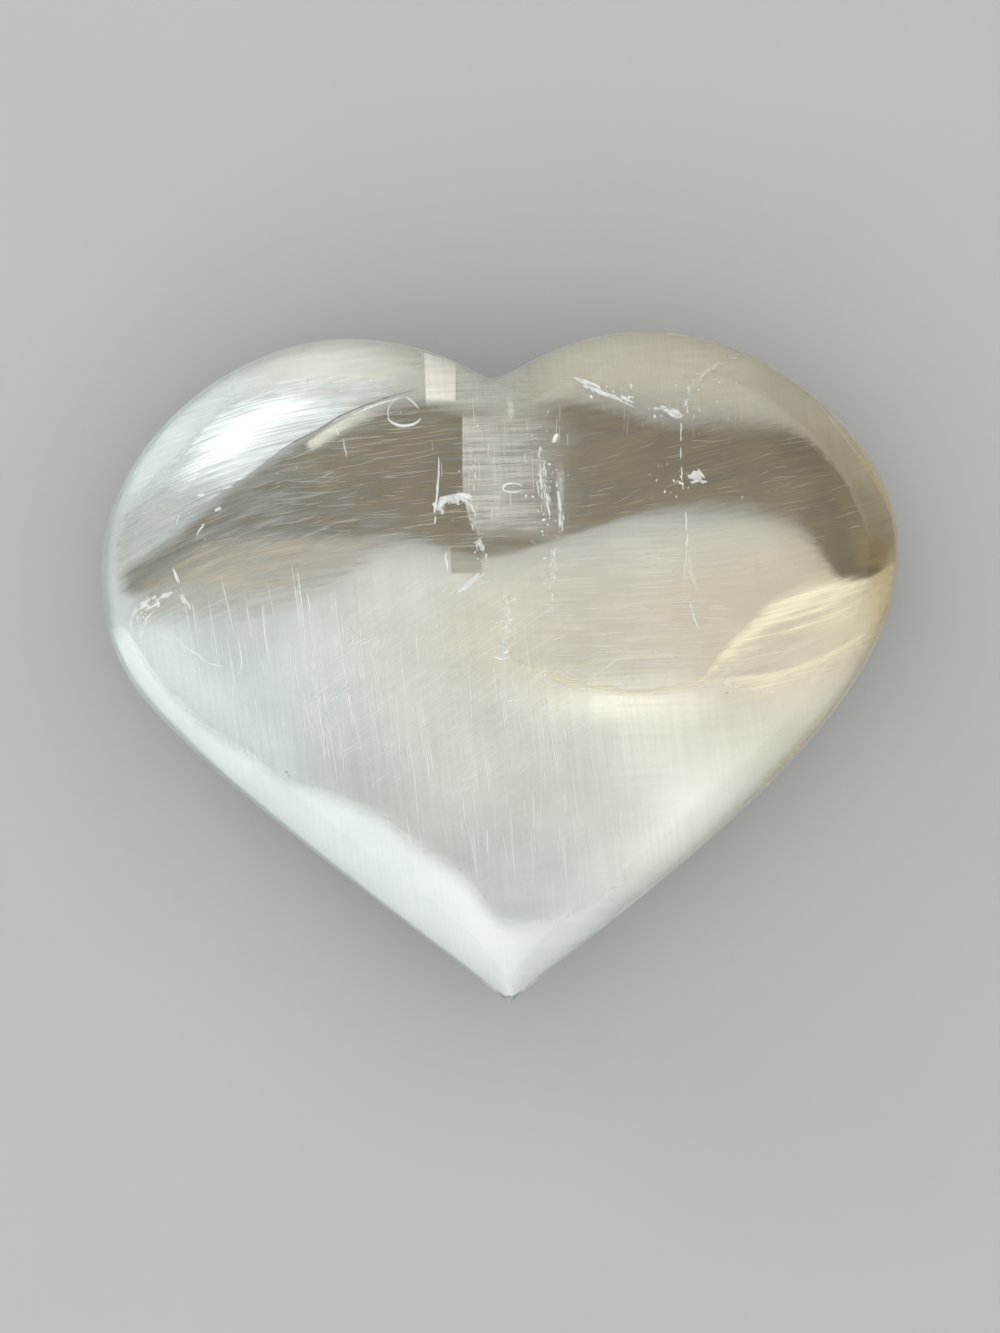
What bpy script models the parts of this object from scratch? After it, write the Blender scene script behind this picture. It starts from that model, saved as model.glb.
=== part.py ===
"""A polished heart-shaped palm stone cut from one clear, fibrous crystal.

The stone lies on its back on a small ground flat. +X runs across the lobes, +Y from the
point to the cleft, +Z out of the front face. The origin is on the floor, under the middle
of the stone's bounding box. It is one solid, in metres.
"""

import math

import bmesh
import bpy
import numpy as np
from mathutils import Vector
from mathutils.geometry import interpolate_bezier

# Driving dimensions.
WIDTH = 0.0750  # across the two lobes
LENGTH = 0.0629  # from the point to the top of the higher lobe
THICKNESS = 0.0260
GIRDLE_HEIGHT = 0.0122  # height of the widest contour above the floor

# The outline, counter-clockwise from the point. Each anchor is its place as a share of WIDTH
# and LENGTH from the middle of the box, its heading in degrees, and how far its two handles
# reach, back and forward, as a share of WIDTH.
POINT = (0.012, -0.503)
POINT_HEADING_IN = 322.5
POINT_HEADING_OUT = 38.5
POINT_HANDLE = 0.150
POINT_ROUND = 0.009  # how far the rounding of the point starts from it, as a share of WIDTH
ANCHORS = (
    ("right shoulder", 0.368, -0.140, 47.5, 0.120, 0.100),
    ("right side", 0.500, 0.182, 92.0, 0.105, 0.125),
    ("right lobe", 0.185, 0.500, 180.0, 0.165, 0.115),
    ("cleft", -0.012, 0.430, 180.0, 0.030, 0.012),
    ("left lobe", -0.190, 0.489, 180.0, 0.110, 0.155),
    ("left side", -0.500, 0.143, 270.0, 0.147, 0.115),
    ("left shoulder", -0.410, -0.096, 314.0, 0.055, 0.120),
)
CURVE_STEPS = 60  # points read from each Bezier before they are spaced evenly
OUTLINE_POINTS = 84

# The two faces. A contour is the outline drawn in towards HEART_CENTRE by a share of its size.
HEART_CENTRE = (0.0, 0.0085)
SOFTENING = 0.08  # how fast the point and the cleft round off as a contour is drawn in
SOFTENING_POWER = 1.5
FRONT_SHARES = (0.985, 0.955, 0.915, 0.865, 0.80, 0.71, 0.58, 0.42, 0.22)
BACK_SHARES = (0.985, 0.955, 0.915, 0.865, 0.80, 0.71, 0.60)
FLAT_SHARE = 0.46  # the contour that bounds the ground flat on the back
CROWN_FULLNESS = 3.0  # higher is a flatter face with a rounder rim
CROWN_ROUNDNESS = 1.9

STONE_COLOUR = (0.80, 0.80, 0.76, 1.0)
STONE_ROUGHNESS = 0.12
STONE_IOR = 1.53


def clear_scene():
    for old in list(bpy.data.objects):
        bpy.data.objects.remove(old)


def stone_material():
    """Clear crystal with a satin polish."""
    material = bpy.data.materials.new("polished_crystal")
    material.use_nodes = True
    shader = material.node_tree.nodes["Principled BSDF"]
    shader.inputs["Base Color"].default_value = STONE_COLOUR
    shader.inputs["Roughness"].default_value = STONE_ROUGHNESS
    shader.inputs["Metallic"].default_value = 0.0
    shader.inputs["IOR"].default_value = STONE_IOR
    shader.inputs["Transmission Weight"].default_value = 1.0
    return material


def heading(degrees):
    return Vector((math.cos(math.radians(degrees)), math.sin(math.radians(degrees))))


def outline():
    """The outline as complex numbers, x + iy, evenly spaced from the point, about its box's middle."""
    point = Vector((POINT[0] * WIDTH, POINT[1] * LENGTH))
    leaving = point + heading(POINT_HEADING_OUT) * POINT_ROUND * WIDTH
    arriving = point - heading(POINT_HEADING_IN) * POINT_ROUND * WIDTH
    knots = [(leaving, POINT_HEADING_OUT, POINT_HANDLE, POINT_HANDLE)]
    for _, across, along, degrees, back, forward in ANCHORS:
        knots.append((Vector((across * WIDTH, along * LENGTH)), degrees, back, forward))
    knots.append((arriving, POINT_HEADING_IN, POINT_HANDLE, POINT_HANDLE))
    run = []
    for (start, turn_a, _, reach_a), (end, turn_b, reach_b, _) in zip(knots, knots[1:]):
        handle_a = start + heading(turn_a) * reach_a * WIDTH
        handle_b = end - heading(turn_b) * reach_b * WIDTH
        run += interpolate_bezier(start, handle_a, handle_b, end, CURVE_STEPS)[:-1]
    rounding = interpolate_bezier(arriving, point, point, leaving, CURVE_STEPS + 1)
    tip = CURVE_STEPS // 2
    run = np.array([complex(p.x, p.y) for p in rounding[tip:-1] + run + rounding[: tip + 1]])
    along = np.concatenate(([0], np.cumsum(np.abs(np.diff(run)))))
    places = np.linspace(0, along[-1], OUTLINE_POINTS, endpoint=False)
    edge = np.interp(places, along, run.real) + 1j * np.interp(places, along, run.imag)
    box_middle = complex(edge.real.min() + edge.real.max(), edge.imag.min() + edge.imag.max()) / 2
    return edge - box_middle


def contour(edge, share):
    """The outline drawn in to a share of its size, with its tighter curves smoothed away.

    The outline's Fourier terms are damped by a Gaussian that widens towards the middle."""
    centre = complex(*HEART_CENTRE)
    terms = np.fft.fftfreq(len(edge), 1 / len(edge))
    damping = np.exp(-SOFTENING * (1 - share) ** SOFTENING_POWER * terms**2)
    softened = np.fft.ifft(np.fft.fft(edge) * damping)
    return centre + (softened - centre) * share


def crown(share):
    """How high a contour stands between the girdle, 0, and the middle of a face, 1."""
    return (1 - share**CROWN_FULLNESS) ** (1 / CROWN_ROUNDNESS)


def rings(edge):
    """Every contour with its height, from the flat on the back, over the girdle, to the front."""
    flat_drop = crown(FLAT_SHARE)
    made = [(contour(edge, FLAT_SHARE), 0.0)]
    for share in reversed(BACK_SHARES):
        made.append((contour(edge, share), GIRDLE_HEIGHT * (1 - crown(share) / flat_drop)))
    made.append((contour(edge, 1.0), GIRDLE_HEIGHT))
    for share in FRONT_SHARES:
        rise = (THICKNESS - GIRDLE_HEIGHT) * crown(share)
        made.append((contour(edge, share), GIRDLE_HEIGHT + rise))
    return made


def stone():
    """One closed solid: the contours bridged one to the next, the flat filled, the front capped."""
    mesh = bmesh.new()
    loops = []
    for ring, height in rings(outline()):
        verts = [mesh.verts.new((p.real, p.imag, height)) for p in ring]
        edges = [mesh.edges.new(pair) for pair in zip(verts, verts[1:] + verts[:1])]
        loops.append((verts, edges))
    for (_, lower), (_, upper) in zip(loops, loops[1:]):
        bmesh.ops.bridge_loops(mesh, edges=lower + upper)
    mesh.faces.new(loops[0][0])
    top = mesh.verts.new((*HEART_CENTRE, THICKNESS))
    last = loops[-1][0]
    for a, b in zip(last, last[1:] + last[:1]):
        mesh.faces.new((a, b, top))
    bmesh.ops.triangulate(mesh, faces=mesh.faces[:])
    bmesh.ops.recalc_face_normals(mesh, faces=mesh.faces[:])
    data = bpy.data.meshes.new("heart")
    mesh.to_mesh(data)
    mesh.free()
    data.shade_smooth()
    data.materials.append(stone_material())
    obj = bpy.data.objects.new("heart", data)
    bpy.context.scene.collection.objects.link(obj)


def main():
    clear_scene()
    stone()


main()
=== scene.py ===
"""The looks of a polished heart cut from one clear, fibrous crystal, and of the flaws in it.

Every sealed-in piece is laid out on the front view: millimetres to the right of and above the
middle of the heart's box, as they meet the eye of someone looking straight down on the stone.
A depth is a share of the way through the stone along that bent line of sight, 0 at the front
face and 1 at the back, so nothing sealed in the stone can leave it.
"""

import math

import bpy
import numpy as np
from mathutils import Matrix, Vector


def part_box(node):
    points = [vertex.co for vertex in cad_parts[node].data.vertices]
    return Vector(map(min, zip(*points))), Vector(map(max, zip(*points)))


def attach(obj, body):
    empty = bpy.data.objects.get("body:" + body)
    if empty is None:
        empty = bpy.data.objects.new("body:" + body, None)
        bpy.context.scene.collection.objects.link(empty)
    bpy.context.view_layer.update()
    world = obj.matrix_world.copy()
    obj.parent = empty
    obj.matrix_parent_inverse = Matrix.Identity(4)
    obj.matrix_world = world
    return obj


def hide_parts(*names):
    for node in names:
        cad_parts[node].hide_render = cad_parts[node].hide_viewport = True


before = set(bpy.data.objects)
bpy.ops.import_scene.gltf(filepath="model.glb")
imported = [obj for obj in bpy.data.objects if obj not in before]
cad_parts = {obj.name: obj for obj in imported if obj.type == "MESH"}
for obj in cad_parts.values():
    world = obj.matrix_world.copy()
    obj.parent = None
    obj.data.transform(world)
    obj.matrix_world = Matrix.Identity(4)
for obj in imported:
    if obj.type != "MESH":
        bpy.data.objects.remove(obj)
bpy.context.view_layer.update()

bl_info = {
    "name": "Crystal heart",
    "version": (1, 0, 0),
    "blender": (4, 5, 0),
    "location": "3D View > Sidebar > Crystal heart",
    # The smoky zone is painted shade: a dark veil standing in for dark surroundings seen through
    # the stone.
    "description": "Makes a polished crystal heart with a smoky zone, veils and healed cracks",
    "category": "Add Mesh",
}

BODY = "root"
NODE = "heart"
MM = 0.001
BOX_LOW, BOX_HIGH = (np.array(corner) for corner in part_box(NODE))
WIDTH, LENGTH, THICKNESS = BOX_HIGH - BOX_LOW

# The outline, counter-clockwise from the point. Each anchor is its place as a share of WIDTH
# and LENGTH from the middle of the box, its heading in degrees, and how far its two handles
# reach, back and forward, as a share of WIDTH.
POINT = (0.012, -0.503)
POINT_HEADING_IN = 322.5
POINT_HEADING_OUT = 38.5
POINT_HANDLE = 0.150
POINT_ROUND = 0.009
ANCHORS = (
    ("right shoulder", 0.368, -0.140, 47.5, 0.120, 0.100),
    ("right side", 0.500, 0.182, 92.0, 0.105, 0.125),
    ("right lobe", 0.185, 0.500, 180.0, 0.165, 0.115),
    ("cleft", -0.012, 0.430, 180.0, 0.030, 0.012),
    ("left lobe", -0.190, 0.489, 180.0, 0.110, 0.155),
    ("left side", -0.500, 0.143, 270.0, 0.147, 0.115),
    ("left shoulder", -0.410, -0.096, 314.0, 0.055, 0.120),
)
CURVE_STEPS = 80  # points read from each Bezier before they are spaced evenly

# The two faces. A contour is the outline drawn in towards HEART_CENTRE by a share of its size.
HEART_CENTRE = complex(0.0, 0.0085)
SOFTENING = 0.08  # how fast the point and the cleft round off as a contour is drawn in
SOFTENING_POWER = 1.5
FLAT_SHARE = 0.46  # the contour that bounds the ground flat on the back
CROWN_FULLNESS = 3.0  # higher is a flatter face with a rounder rim
CROWN_ROUNDNESS = 1.9

# The surface's grid, and the tables that the sealed-in pieces are placed by.
SURFACE_COLUMNS = 500
BACK_ROWS = 60
FRONT_ROWS = 95
TABLE_ANGLES = 720
TABLE_SHARES = 72
ENTRY_ROUNDS = 5  # how often the place where the line of sight enters is worked out anew
EXIT_ROUNDS = 14  # and the place where it leaves
SLOPE_STEP = 0.2 * MM

TINY = 1e-12  # keeps a division by a length of nothing finite
HAIR = 1e-6  # the shortest share over which a cover rises


# --- What a user would change ---


def length_of(name, description, default):
    return bpy.props.FloatProperty(
        name=name, description=description, default=default, unit="LENGTH", min=0
    )


def colour_of(name, description, *linear):
    return bpy.props.FloatVectorProperty(
        name=name, description=description, subtype="COLOR", size=3, min=0, max=1, default=linear
    )


class CrystalHeartSizes(bpy.types.PropertyGroup):
    girdle: length_of("Girdle height", "Height of the widest contour above the floor", 0.0122)
    polish_wave: length_of("Polish wave", "Depth of the waves that hand polishing leaves", 0.00008)
    eye_height: length_of("Eye height", "Height of the camera above the girdle", 0.42)
    frame_height: length_of(
        "Frame height", "How much of the girdle's plane the camera takes in, top to bottom", 0.1253
    )
    index: bpy.props.FloatProperty(
        name="Refractive index", description="How strongly the crystal bends light", default=1.53
    )


class CrystalHeartColours(bpy.types.PropertyGroup):
    crystal: colour_of("Crystal", "Tint of the clear crystal", 0.985, 0.985, 0.975)
    absorbed: colour_of("Depth tint", "Colour that deep crystal turns", 0.86, 0.85, 0.79)
    # Smoke, umber and taupe are painted shade: the smoky zone, the right lobe's brown rim and the
    # zone's thinner edges stand in for dark surroundings seen through the stone.
    smoke: colour_of("Smoke", "The smoky zone across the lobes", 0.108, 0.083, 0.037)
    umber: colour_of("Umber", "The brown rim of the right lobe", 0.31, 0.235, 0.10)
    taupe: colour_of("Taupe", "The thinner edges of the smoky zone", 0.40, 0.36, 0.28)
    tan: colour_of("Tan", "Warm veils at the top and the right rim", 0.53, 0.49, 0.395)
    # Amber is painted: the brown of the surroundings seen through the right edge, and the painted
    # shade that the haze mixes in on the right lobe.
    amber: colour_of("Amber", "Brown strip along the right edge", 0.71, 0.595, 0.345)
    pane: colour_of("Pane", "Pale cleavage panes", 0.66, 0.64, 0.57)
    shoulder: colour_of("Shoulder", "Sanded grey-green crystal at the left end", 0.52, 0.565, 0.52)
    # Milk also paints the window's reflection of the sky, and its whiteness at the rim is partly
    # painted light.
    milk: colour_of("Milk", "Cold milky crystal at the rim", 0.86, 0.93, 0.92)
    cool: colour_of("Cool haze", "Haze on the left of the lower half", 0.80, 0.90, 0.92)
    warm: colour_of("Warm haze", "Haze in the middle and on the right", 0.82, 0.755, 0.60)
    ivory: colour_of("Ivory", "Warm ridge on the right", 0.95, 0.88, 0.63)
    fleck: colour_of("Fleck", "Cracks, flakes and threads", 0.95, 0.97, 0.95)
    pit: colour_of("Pit", "Tiny dark pits", 0.20, 0.19, 0.17)
    floor: colour_of("Floor", "The plain floor", 0.26, 0.26, 0.255)


def sizes():
    return bpy.context.scene.crystal_heart_sizes


def colours():
    return bpy.context.scene.crystal_heart_colours


def times(colour, factor):
    return [c * factor for c in colour]


# --- The shape of the stone ---


def heading(degrees):
    return complex(math.cos(math.radians(degrees)), math.sin(math.radians(degrees)))


def bezier(start, handle_a, handle_b, end, steps):
    """A cubic Bezier's points, its end left off: its four corners weighted by Bernstein's
    polynomials."""
    t = np.linspace(0, 1, steps, endpoint=False)
    weights = ((1 - t) ** 3, 3 * t * (1 - t) ** 2, 3 * t**2 * (1 - t), t**3)
    return sum(w * p for w, p in zip(weights, (start, handle_a, handle_b, end)))


def outline(count):
    """The outline as complex numbers, x + iy, evenly spaced from the point, about the middle of
    its box."""
    point = complex(POINT[0] * WIDTH, POINT[1] * LENGTH)
    leaving = point + heading(POINT_HEADING_OUT) * POINT_ROUND * WIDTH
    arriving = point - heading(POINT_HEADING_IN) * POINT_ROUND * WIDTH
    knots = [(leaving, POINT_HEADING_OUT, POINT_HANDLE, POINT_HANDLE)]
    for _, across, along, degrees, back, forward in ANCHORS:
        knots.append((complex(across * WIDTH, along * LENGTH), degrees, back, forward))
    knots.append((arriving, POINT_HEADING_IN, POINT_HANDLE, POINT_HANDLE))
    run = []
    for (start, turn_a, _, reach_a), (end, turn_b, reach_b, _) in zip(knots, knots[1:]):
        handle_a = start + heading(turn_a) * reach_a * WIDTH
        handle_b = end - heading(turn_b) * reach_b * WIDTH
        run.append(bezier(start, handle_a, handle_b, end, CURVE_STEPS))
    rounding = bezier(arriving, point, point, leaving, CURVE_STEPS)
    tip = CURVE_STEPS // 2
    run = np.concatenate([rounding[tip:], *run, rounding[: tip + 1]])
    along = np.concatenate(([0], np.cumsum(np.abs(np.diff(run)))))
    places = np.linspace(0, along[-1], count, endpoint=False)
    edge = np.interp(places, along, run.real) + 1j * np.interp(places, along, run.imag)
    box_middle = complex(edge.real.min() + edge.real.max(), edge.imag.min() + edge.imag.max()) / 2
    edge -= box_middle
    return edge.real * WIDTH / np.ptp(edge.real) + 1j * edge.imag * LENGTH / np.ptp(edge.imag)


def contour(edge, share):
    """The outline drawn in to a share of its size, its Fourier terms damped by a Gaussian that
    widens towards the middle, so the point and the cleft round off."""
    terms = np.fft.fftfreq(len(edge), 1 / len(edge))
    damping = np.exp(-SOFTENING * (1 - share) ** SOFTENING_POWER * terms**2)
    softened = np.fft.ifft(np.fft.fft(edge) * damping)
    return HEART_CENTRE + (softened - HEART_CENTRE) * share


def crown(share):
    """How high a contour stands between the girdle, 0, and the middle of a face, 1."""
    return np.clip(1 - share**CROWN_FULLNESS, 0, None) ** (1 / CROWN_ROUNDNESS)


def front_height(share):
    return sizes().girdle + (THICKNESS - sizes().girdle) * crown(share)


def back_height(share):
    return sizes().girdle * (1 - np.minimum(crown(share) / crown(FLAT_SHARE), 1))


class Stone:
    """The stone as two height fields over the plane, for placing what is sealed in it."""

    def __init__(self):
        edge = outline(SURFACE_COLUMNS)
        self.angles = np.linspace(0, math.tau, TABLE_ANGLES, endpoint=False)
        self.shares = np.linspace(1 / TABLE_SHARES, 1, TABLE_SHARES)
        spokes = [contour(edge, share) - HEART_CENTRE for share in self.shares]
        radii = [np.interp(self.angles, np.angle(s), np.abs(s), period=math.tau) for s in spokes]
        self.radii = np.array(radii)

    def share(self, x, y):
        """Which contour passes through a point: 0 in the middle, 1 on the outline. It is read
        from the contours' radii at the point's angle, with straight lines between them."""
        spoke = x + 1j * y - HEART_CENTRE
        column = np.mod(np.angle(spoke), math.tau) / math.tau * TABLE_ANGLES
        left = column.astype(int) % TABLE_ANGLES
        part = column - column.astype(int)
        radii = self.radii[:, left] * (1 - part) + self.radii[:, (left + 1) % TABLE_ANGLES] * part
        radii = np.vstack([np.zeros(radii.shape[1]), radii])
        reach = np.abs(spoke)
        row = np.clip((radii < reach).sum(axis=0), 1, TABLE_SHARES)
        picked = np.arange(len(reach))
        inner, outer = radii[row - 1, picked], radii[row, picked]
        return np.clip((row - 1 + (reach - inner) / (outer - inner)) / TABLE_SHARES, 0, 1)

    def front(self, x, y):
        return front_height(self.share(x, y))

    def back(self, x, y):
        return back_height(self.share(x, y))

    def keep_in(self, right, up, reach=0.993):
        """Draw places of the front view in towards the middle, no further out than reach times
        the outline's radius at their angle."""
        spoke = right * MM + 1j * up * MM - HEART_CENTRE
        angle = np.mod(np.angle(spoke), math.tau)
        limit = reach * np.interp(angle, self.angles, self.radii[-1], period=math.tau)
        spoke = spoke * np.minimum(1, limit / np.maximum(np.abs(spoke), TINY)) + HEART_CENTRE
        return spoke.real / MM, spoke.imag / MM

    def to_surface(self, points, reach):
        """Move points level, away from the middle, to reach times the surface's radius at their
        own angle and height. The contour at a height is the crown's inverse of it."""
        girdle = sizes().girdle
        height = points[:, 2]
        above = (height - girdle) / (THICKNESS - girdle)
        below = (1 - height / girdle) * crown(FLAT_SHARE)
        rise = np.where(height > girdle, above, below)
        share = (1 - np.clip(rise, 0, 1) ** CROWN_ROUNDNESS) ** (1 / CROWN_FULLNESS)
        spoke = points[:, 0] + 1j * points[:, 1] - HEART_CENTRE
        column = np.mod(np.angle(spoke), math.tau) / math.tau * TABLE_ANGLES
        column = np.round(column).astype(int) % TABLE_ANGLES
        radius = [np.interp(s, self.shares, self.radii[:, c]) for s, c in zip(share, column)]
        spoke = spoke / np.abs(spoke) * np.array(radius) * reach + HEART_CENTRE
        return np.stack([spoke.real, spoke.imag, height], axis=1)

    def look_in(self, right, up, depth):
        """Where the line of sight through a point of the front view, in millimetres, has gone a
        share of the way through the stone. The sight line meets the front face, bends by Snell's
        law about the face's normal, and runs straight to the back face."""
        shape = np.broadcast(right, up, depth).shape
        right, up, depth = (np.broadcast_to(a, shape).ravel() for a in (right, up, depth))
        girdle = sizes().girdle
        eye = np.array([0, 0, girdle + sizes().eye_height])
        height = np.full(right.shape, girdle)
        for _ in range(ENTRY_ROUNDS):
            lean = (eye[2] - height) / (eye[2] - girdle)
            x, y = right * MM * lean, up * MM * lean
            height = self.front(x, y)
        entry = np.stack([x, y, height], axis=1)
        sight = entry - eye
        sight /= np.linalg.norm(sight, axis=1, keepdims=True)
        step = SLOPE_STEP
        slope_x = (self.front(x + step, y) - self.front(x - step, y)) / (2 * step)
        slope_y = (self.front(x, y + step) - self.front(x, y - step)) / (2 * step)
        normal = np.stack([-slope_x, -slope_y, np.ones_like(slope_x)], axis=1)
        normal /= np.linalg.norm(normal, axis=1, keepdims=True)
        ratio = 1 / sizes().index
        facing = -(normal * sight).sum(axis=1, keepdims=True)
        bend = ratio * facing - np.sqrt(1 - ratio**2 * (1 - facing**2))
        inner = ratio * sight + bend * normal
        drop = -inner[:, 2]
        length = (height - self.back(x, y)) / drop
        for _ in range(EXIT_ROUNDS):
            beyond = entry + inner * length[:, None]
            reach = (height - self.back(beyond[:, 0], beyond[:, 1])) / drop
            length = (length + reach) / 2
        return (entry + inner * (length * depth)[:, None]).reshape(*shape, 3)


# --- Meshes ---


def put_mesh(name, points, faces, material):
    """A mesh object from arrays of points and faces, at the origin, riding on the stone's body."""
    mesh = bpy.data.meshes.new(name)
    mesh.from_pydata(points.tolist(), [], faces)
    mesh.update()
    mesh.shade_smooth()
    mesh.materials.append(material)
    piece = bpy.data.objects.new(name, mesh)
    bpy.context.scene.collection.objects.link(piece)
    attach(piece, BODY)
    return piece


def grid_faces(rows, columns, wrap):
    """Quads between the rows and columns of a grid of points, the last column joined to the first
    when it wraps."""
    i = np.arange(rows - 1)[:, None] * columns
    j = np.arange(columns if wrap else columns - 1)[None]
    k = (j + 1) % columns
    corners = [i + j, i + k, i + columns + k, i + columns + j]
    return np.stack(corners, axis=2).reshape(-1, 4).tolist()


def fan_faces(start, columns, tip, upward=True):
    """Triangles from a ring of points, the first of them at start, to one point, the tip. Seen
    from the tip, the ring runs counter-clockwise, or clockwise when they are not upward."""
    j = start + np.arange(columns)
    k = np.roll(j, -1)
    pair = (j, k) if upward else (k, j)
    return np.stack([*pair, np.full(columns, tip)], axis=1)


def smooth_run(points, count):
    """A smooth curve through the points: between two of them a cubic, whose slope at each is that
    of the line joining its neighbours."""
    points = np.array(points, float)
    slopes = np.gradient(points, axis=0)
    place = np.linspace(0, len(points) - 1, count)
    i = np.minimum(place.astype(int), len(points) - 2)
    f = (place - i)[:, None]
    rise = f * f * (3 - 2 * f)
    leave = f * (1 - f) ** 2
    arrive = f * f * (f - 1)
    between = points[i] * (1 - rise) + points[i + 1] * rise
    return between + slopes[i] * leave + slopes[i + 1] * arrive


def smooth_step(value, low, high):
    t = np.clip((value - low) / (high - low), 0, 1)
    return t * t * (3 - 2 * t)


# How far the sanding lines lean at places across the front view: millimetres to the right of the
# middle, and degrees. The wide turns are the left lobe's and the lower half's, the band's turns
# are those of the smoky band, whose dark is painted shade.
WIDE_TURNS = ((-37, 34), (-30, 22), (-22, 12), (-14, 5), (0, 2), (18, 3), (28, 16), (37, 22))
BAND_TURNS = (
    (-37, 36), (-30, 26), (-22, 14), (-14, 7), (-4, 3), (6, 6), (14, 16), (22, 14), (37, 4),
)
AXIS = np.linspace(-40, 40, 801)


def sanding_rise(right, turns):
    """How far a sanding line has risen at a place: its slope summed up from the left, by
    trapezia."""
    places, degrees = np.array(turns).T
    slope = np.tan(np.radians(np.interp(AXIS, places, degrees)))
    rise = np.concatenate([[0], np.cumsum((slope[1:] + slope[:-1]) / 2 * np.diff(AXIS))])
    return np.interp(right, AXIS, rise)


def put_level(piece, name, values):
    layer = piece.data.attributes.new(name, "FLOAT", "POINT")
    layer.data.foreach_set("value", np.ascontiguousarray(values, dtype=np.float32).ravel())


def put_sight(piece, right, up, turns):
    """Store each point's place on the front view, and which sanding line passes through it."""
    layer = piece.data.attributes.new("sight", "FLOAT_VECTOR", "POINT")
    sight = np.stack([right, up, up - sanding_rise(right, turns)], axis=-1)
    layer.data.foreach_set("vector", np.ascontiguousarray(sight, dtype=np.float32).ravel())


def read_along(values, u):
    """Evenly spaced values read along u from 0 to 1, with straight lines between them."""
    values = np.atleast_1d(values)
    return np.interp(u, np.linspace(0, 1, len(values)), values)


def veil(
    stone, name, material, slot, first, second, depths, level,
    ends=(0.1, 0.1), sides=(0.1, 0.1), crest=(0.0, 0.1, 0.0), size=(150, 40),
    turns=WIDE_TURNS, fray=0.1,
):
    """A veil: a curved sheet between two edges of the front view. Most veils are fine flaws, some
    painted shade and some painted light.

    u runs along the edges and v from the first to the second. A point is the two edges mixed by v,
    at a depth mixed the same way, seen into the stone. Its cover is the levels along u, times a
    smooth rise from each end over a share of u and from each side over a share of v, which may
    itself change along u, plus a Gaussian crest of v. Its fray is read along u too."""
    u, v = np.meshgrid(np.linspace(0, 1, size[0]), np.linspace(0, 1, size[1]))
    flat = smooth_run(first, size[0])[None] * (1 - v[..., None])
    flat = flat + smooth_run(second, size[0])[None] * v[..., None]
    right, up = stone.keep_in(flat[..., 0], flat[..., 1])
    points = stone.look_in(right, up, depths[0] * (1 - v) + depths[1] * v)
    along = read_along(level, u) * smooth_step(u, 0, ends[0] + HAIR)
    along = along * smooth_step(1 - u, 0, ends[1] + HAIR)
    across = smooth_step(v, 0, read_along(sides[0], u) + HAIR)
    across = across * smooth_step(1 - v, 0, read_along(sides[1], u) + HAIR)
    crest_height, crest_width, crest_place = crest
    cover = along * (across + crest_height * np.exp(-(((v - crest_place) / crest_width) ** 2)))
    faces = grid_faces(size[1], size[0], wrap=False)
    piece = put_mesh(name, points.reshape(-1, 3), faces, material)
    put_level(piece, "cover", np.clip(cover, 0, 1))
    put_level(piece, "fray", read_along(fray, u))
    put_sight(piece, right, up, turns)
    return piece


def clouds(right, up, base, *spots):
    """A level over the front view: a base, plus for each spot its amount times a Gaussian of the
    distance from its middle, counted in its own two radii."""
    total = np.full(right.shape, float(base))
    for _, x, y, wide, high, amount in spots:
        total += amount * np.exp(-(((right - x) / wide) ** 2) - ((up - y) / high) ** 2)
    return np.clip(total, 0, 1)


SHEET_COLUMNS = 240
SHEET_ROWS = 89
RIM_REACH = 0.985
# The extra pale cover at the rim is partly milky crystal and partly painted light that brightens
# the rim.
RIM_MILK_AND_GLOW = 0.30  # how much more the haze covers at the rim
RIM_SHARES = (0.74, 0.94)  # the contours between which that comes in


def body_sheet(stone, name, depth, reach, material, levels):
    """A veil through the whole stone: contours of the front view from its middle out to reach, at
    one depth, the last of them let out almost to the surface so that no clear ring is left at the
    rim. Each of its levels is read from clouds, and it covers more near the rim, partly as painted
    light that brightens the rim."""
    edge = outline(SHEET_COLUMNS)
    shares = np.sin(np.linspace(math.pi / 2, 0, SHEET_ROWS + 1))[:-1] * reach
    flat = np.array([contour(edge, share) for share in shares]) / MM
    right = np.concatenate([flat.real.ravel(), [HEART_CENTRE.real / MM]])
    up = np.concatenate([flat.imag.ravel(), [HEART_CENTRE.imag / MM]])
    points = stone.look_in(right, up, depth)
    rows, columns = flat.shape
    points[:columns] = stone.to_surface(points[:columns], RIM_REACH)
    faces = grid_faces(rows, columns, wrap=True)
    faces += fan_faces((rows - 1) * columns, columns, rows * columns).tolist()
    piece = put_mesh(name, points, faces, material)
    rim = np.repeat(smooth_step(shares, *RIM_SHARES), columns)
    values = {level: clouds(right, up, *spots) for level, spots in levels.items()}
    values["cover"] = np.clip(values["cover"] + RIM_MILK_AND_GLOW * np.append(rim, 0), 0, 1)
    for level, value in values.items():
        put_level(piece, level, value)
    put_sight(piece, right, up, WIDE_TURNS)
    return piece


def unit(vectors):
    """The vectors over their own lengths."""
    return vectors / (np.linalg.norm(vectors, axis=-1, keepdims=True) + TINY)


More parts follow.
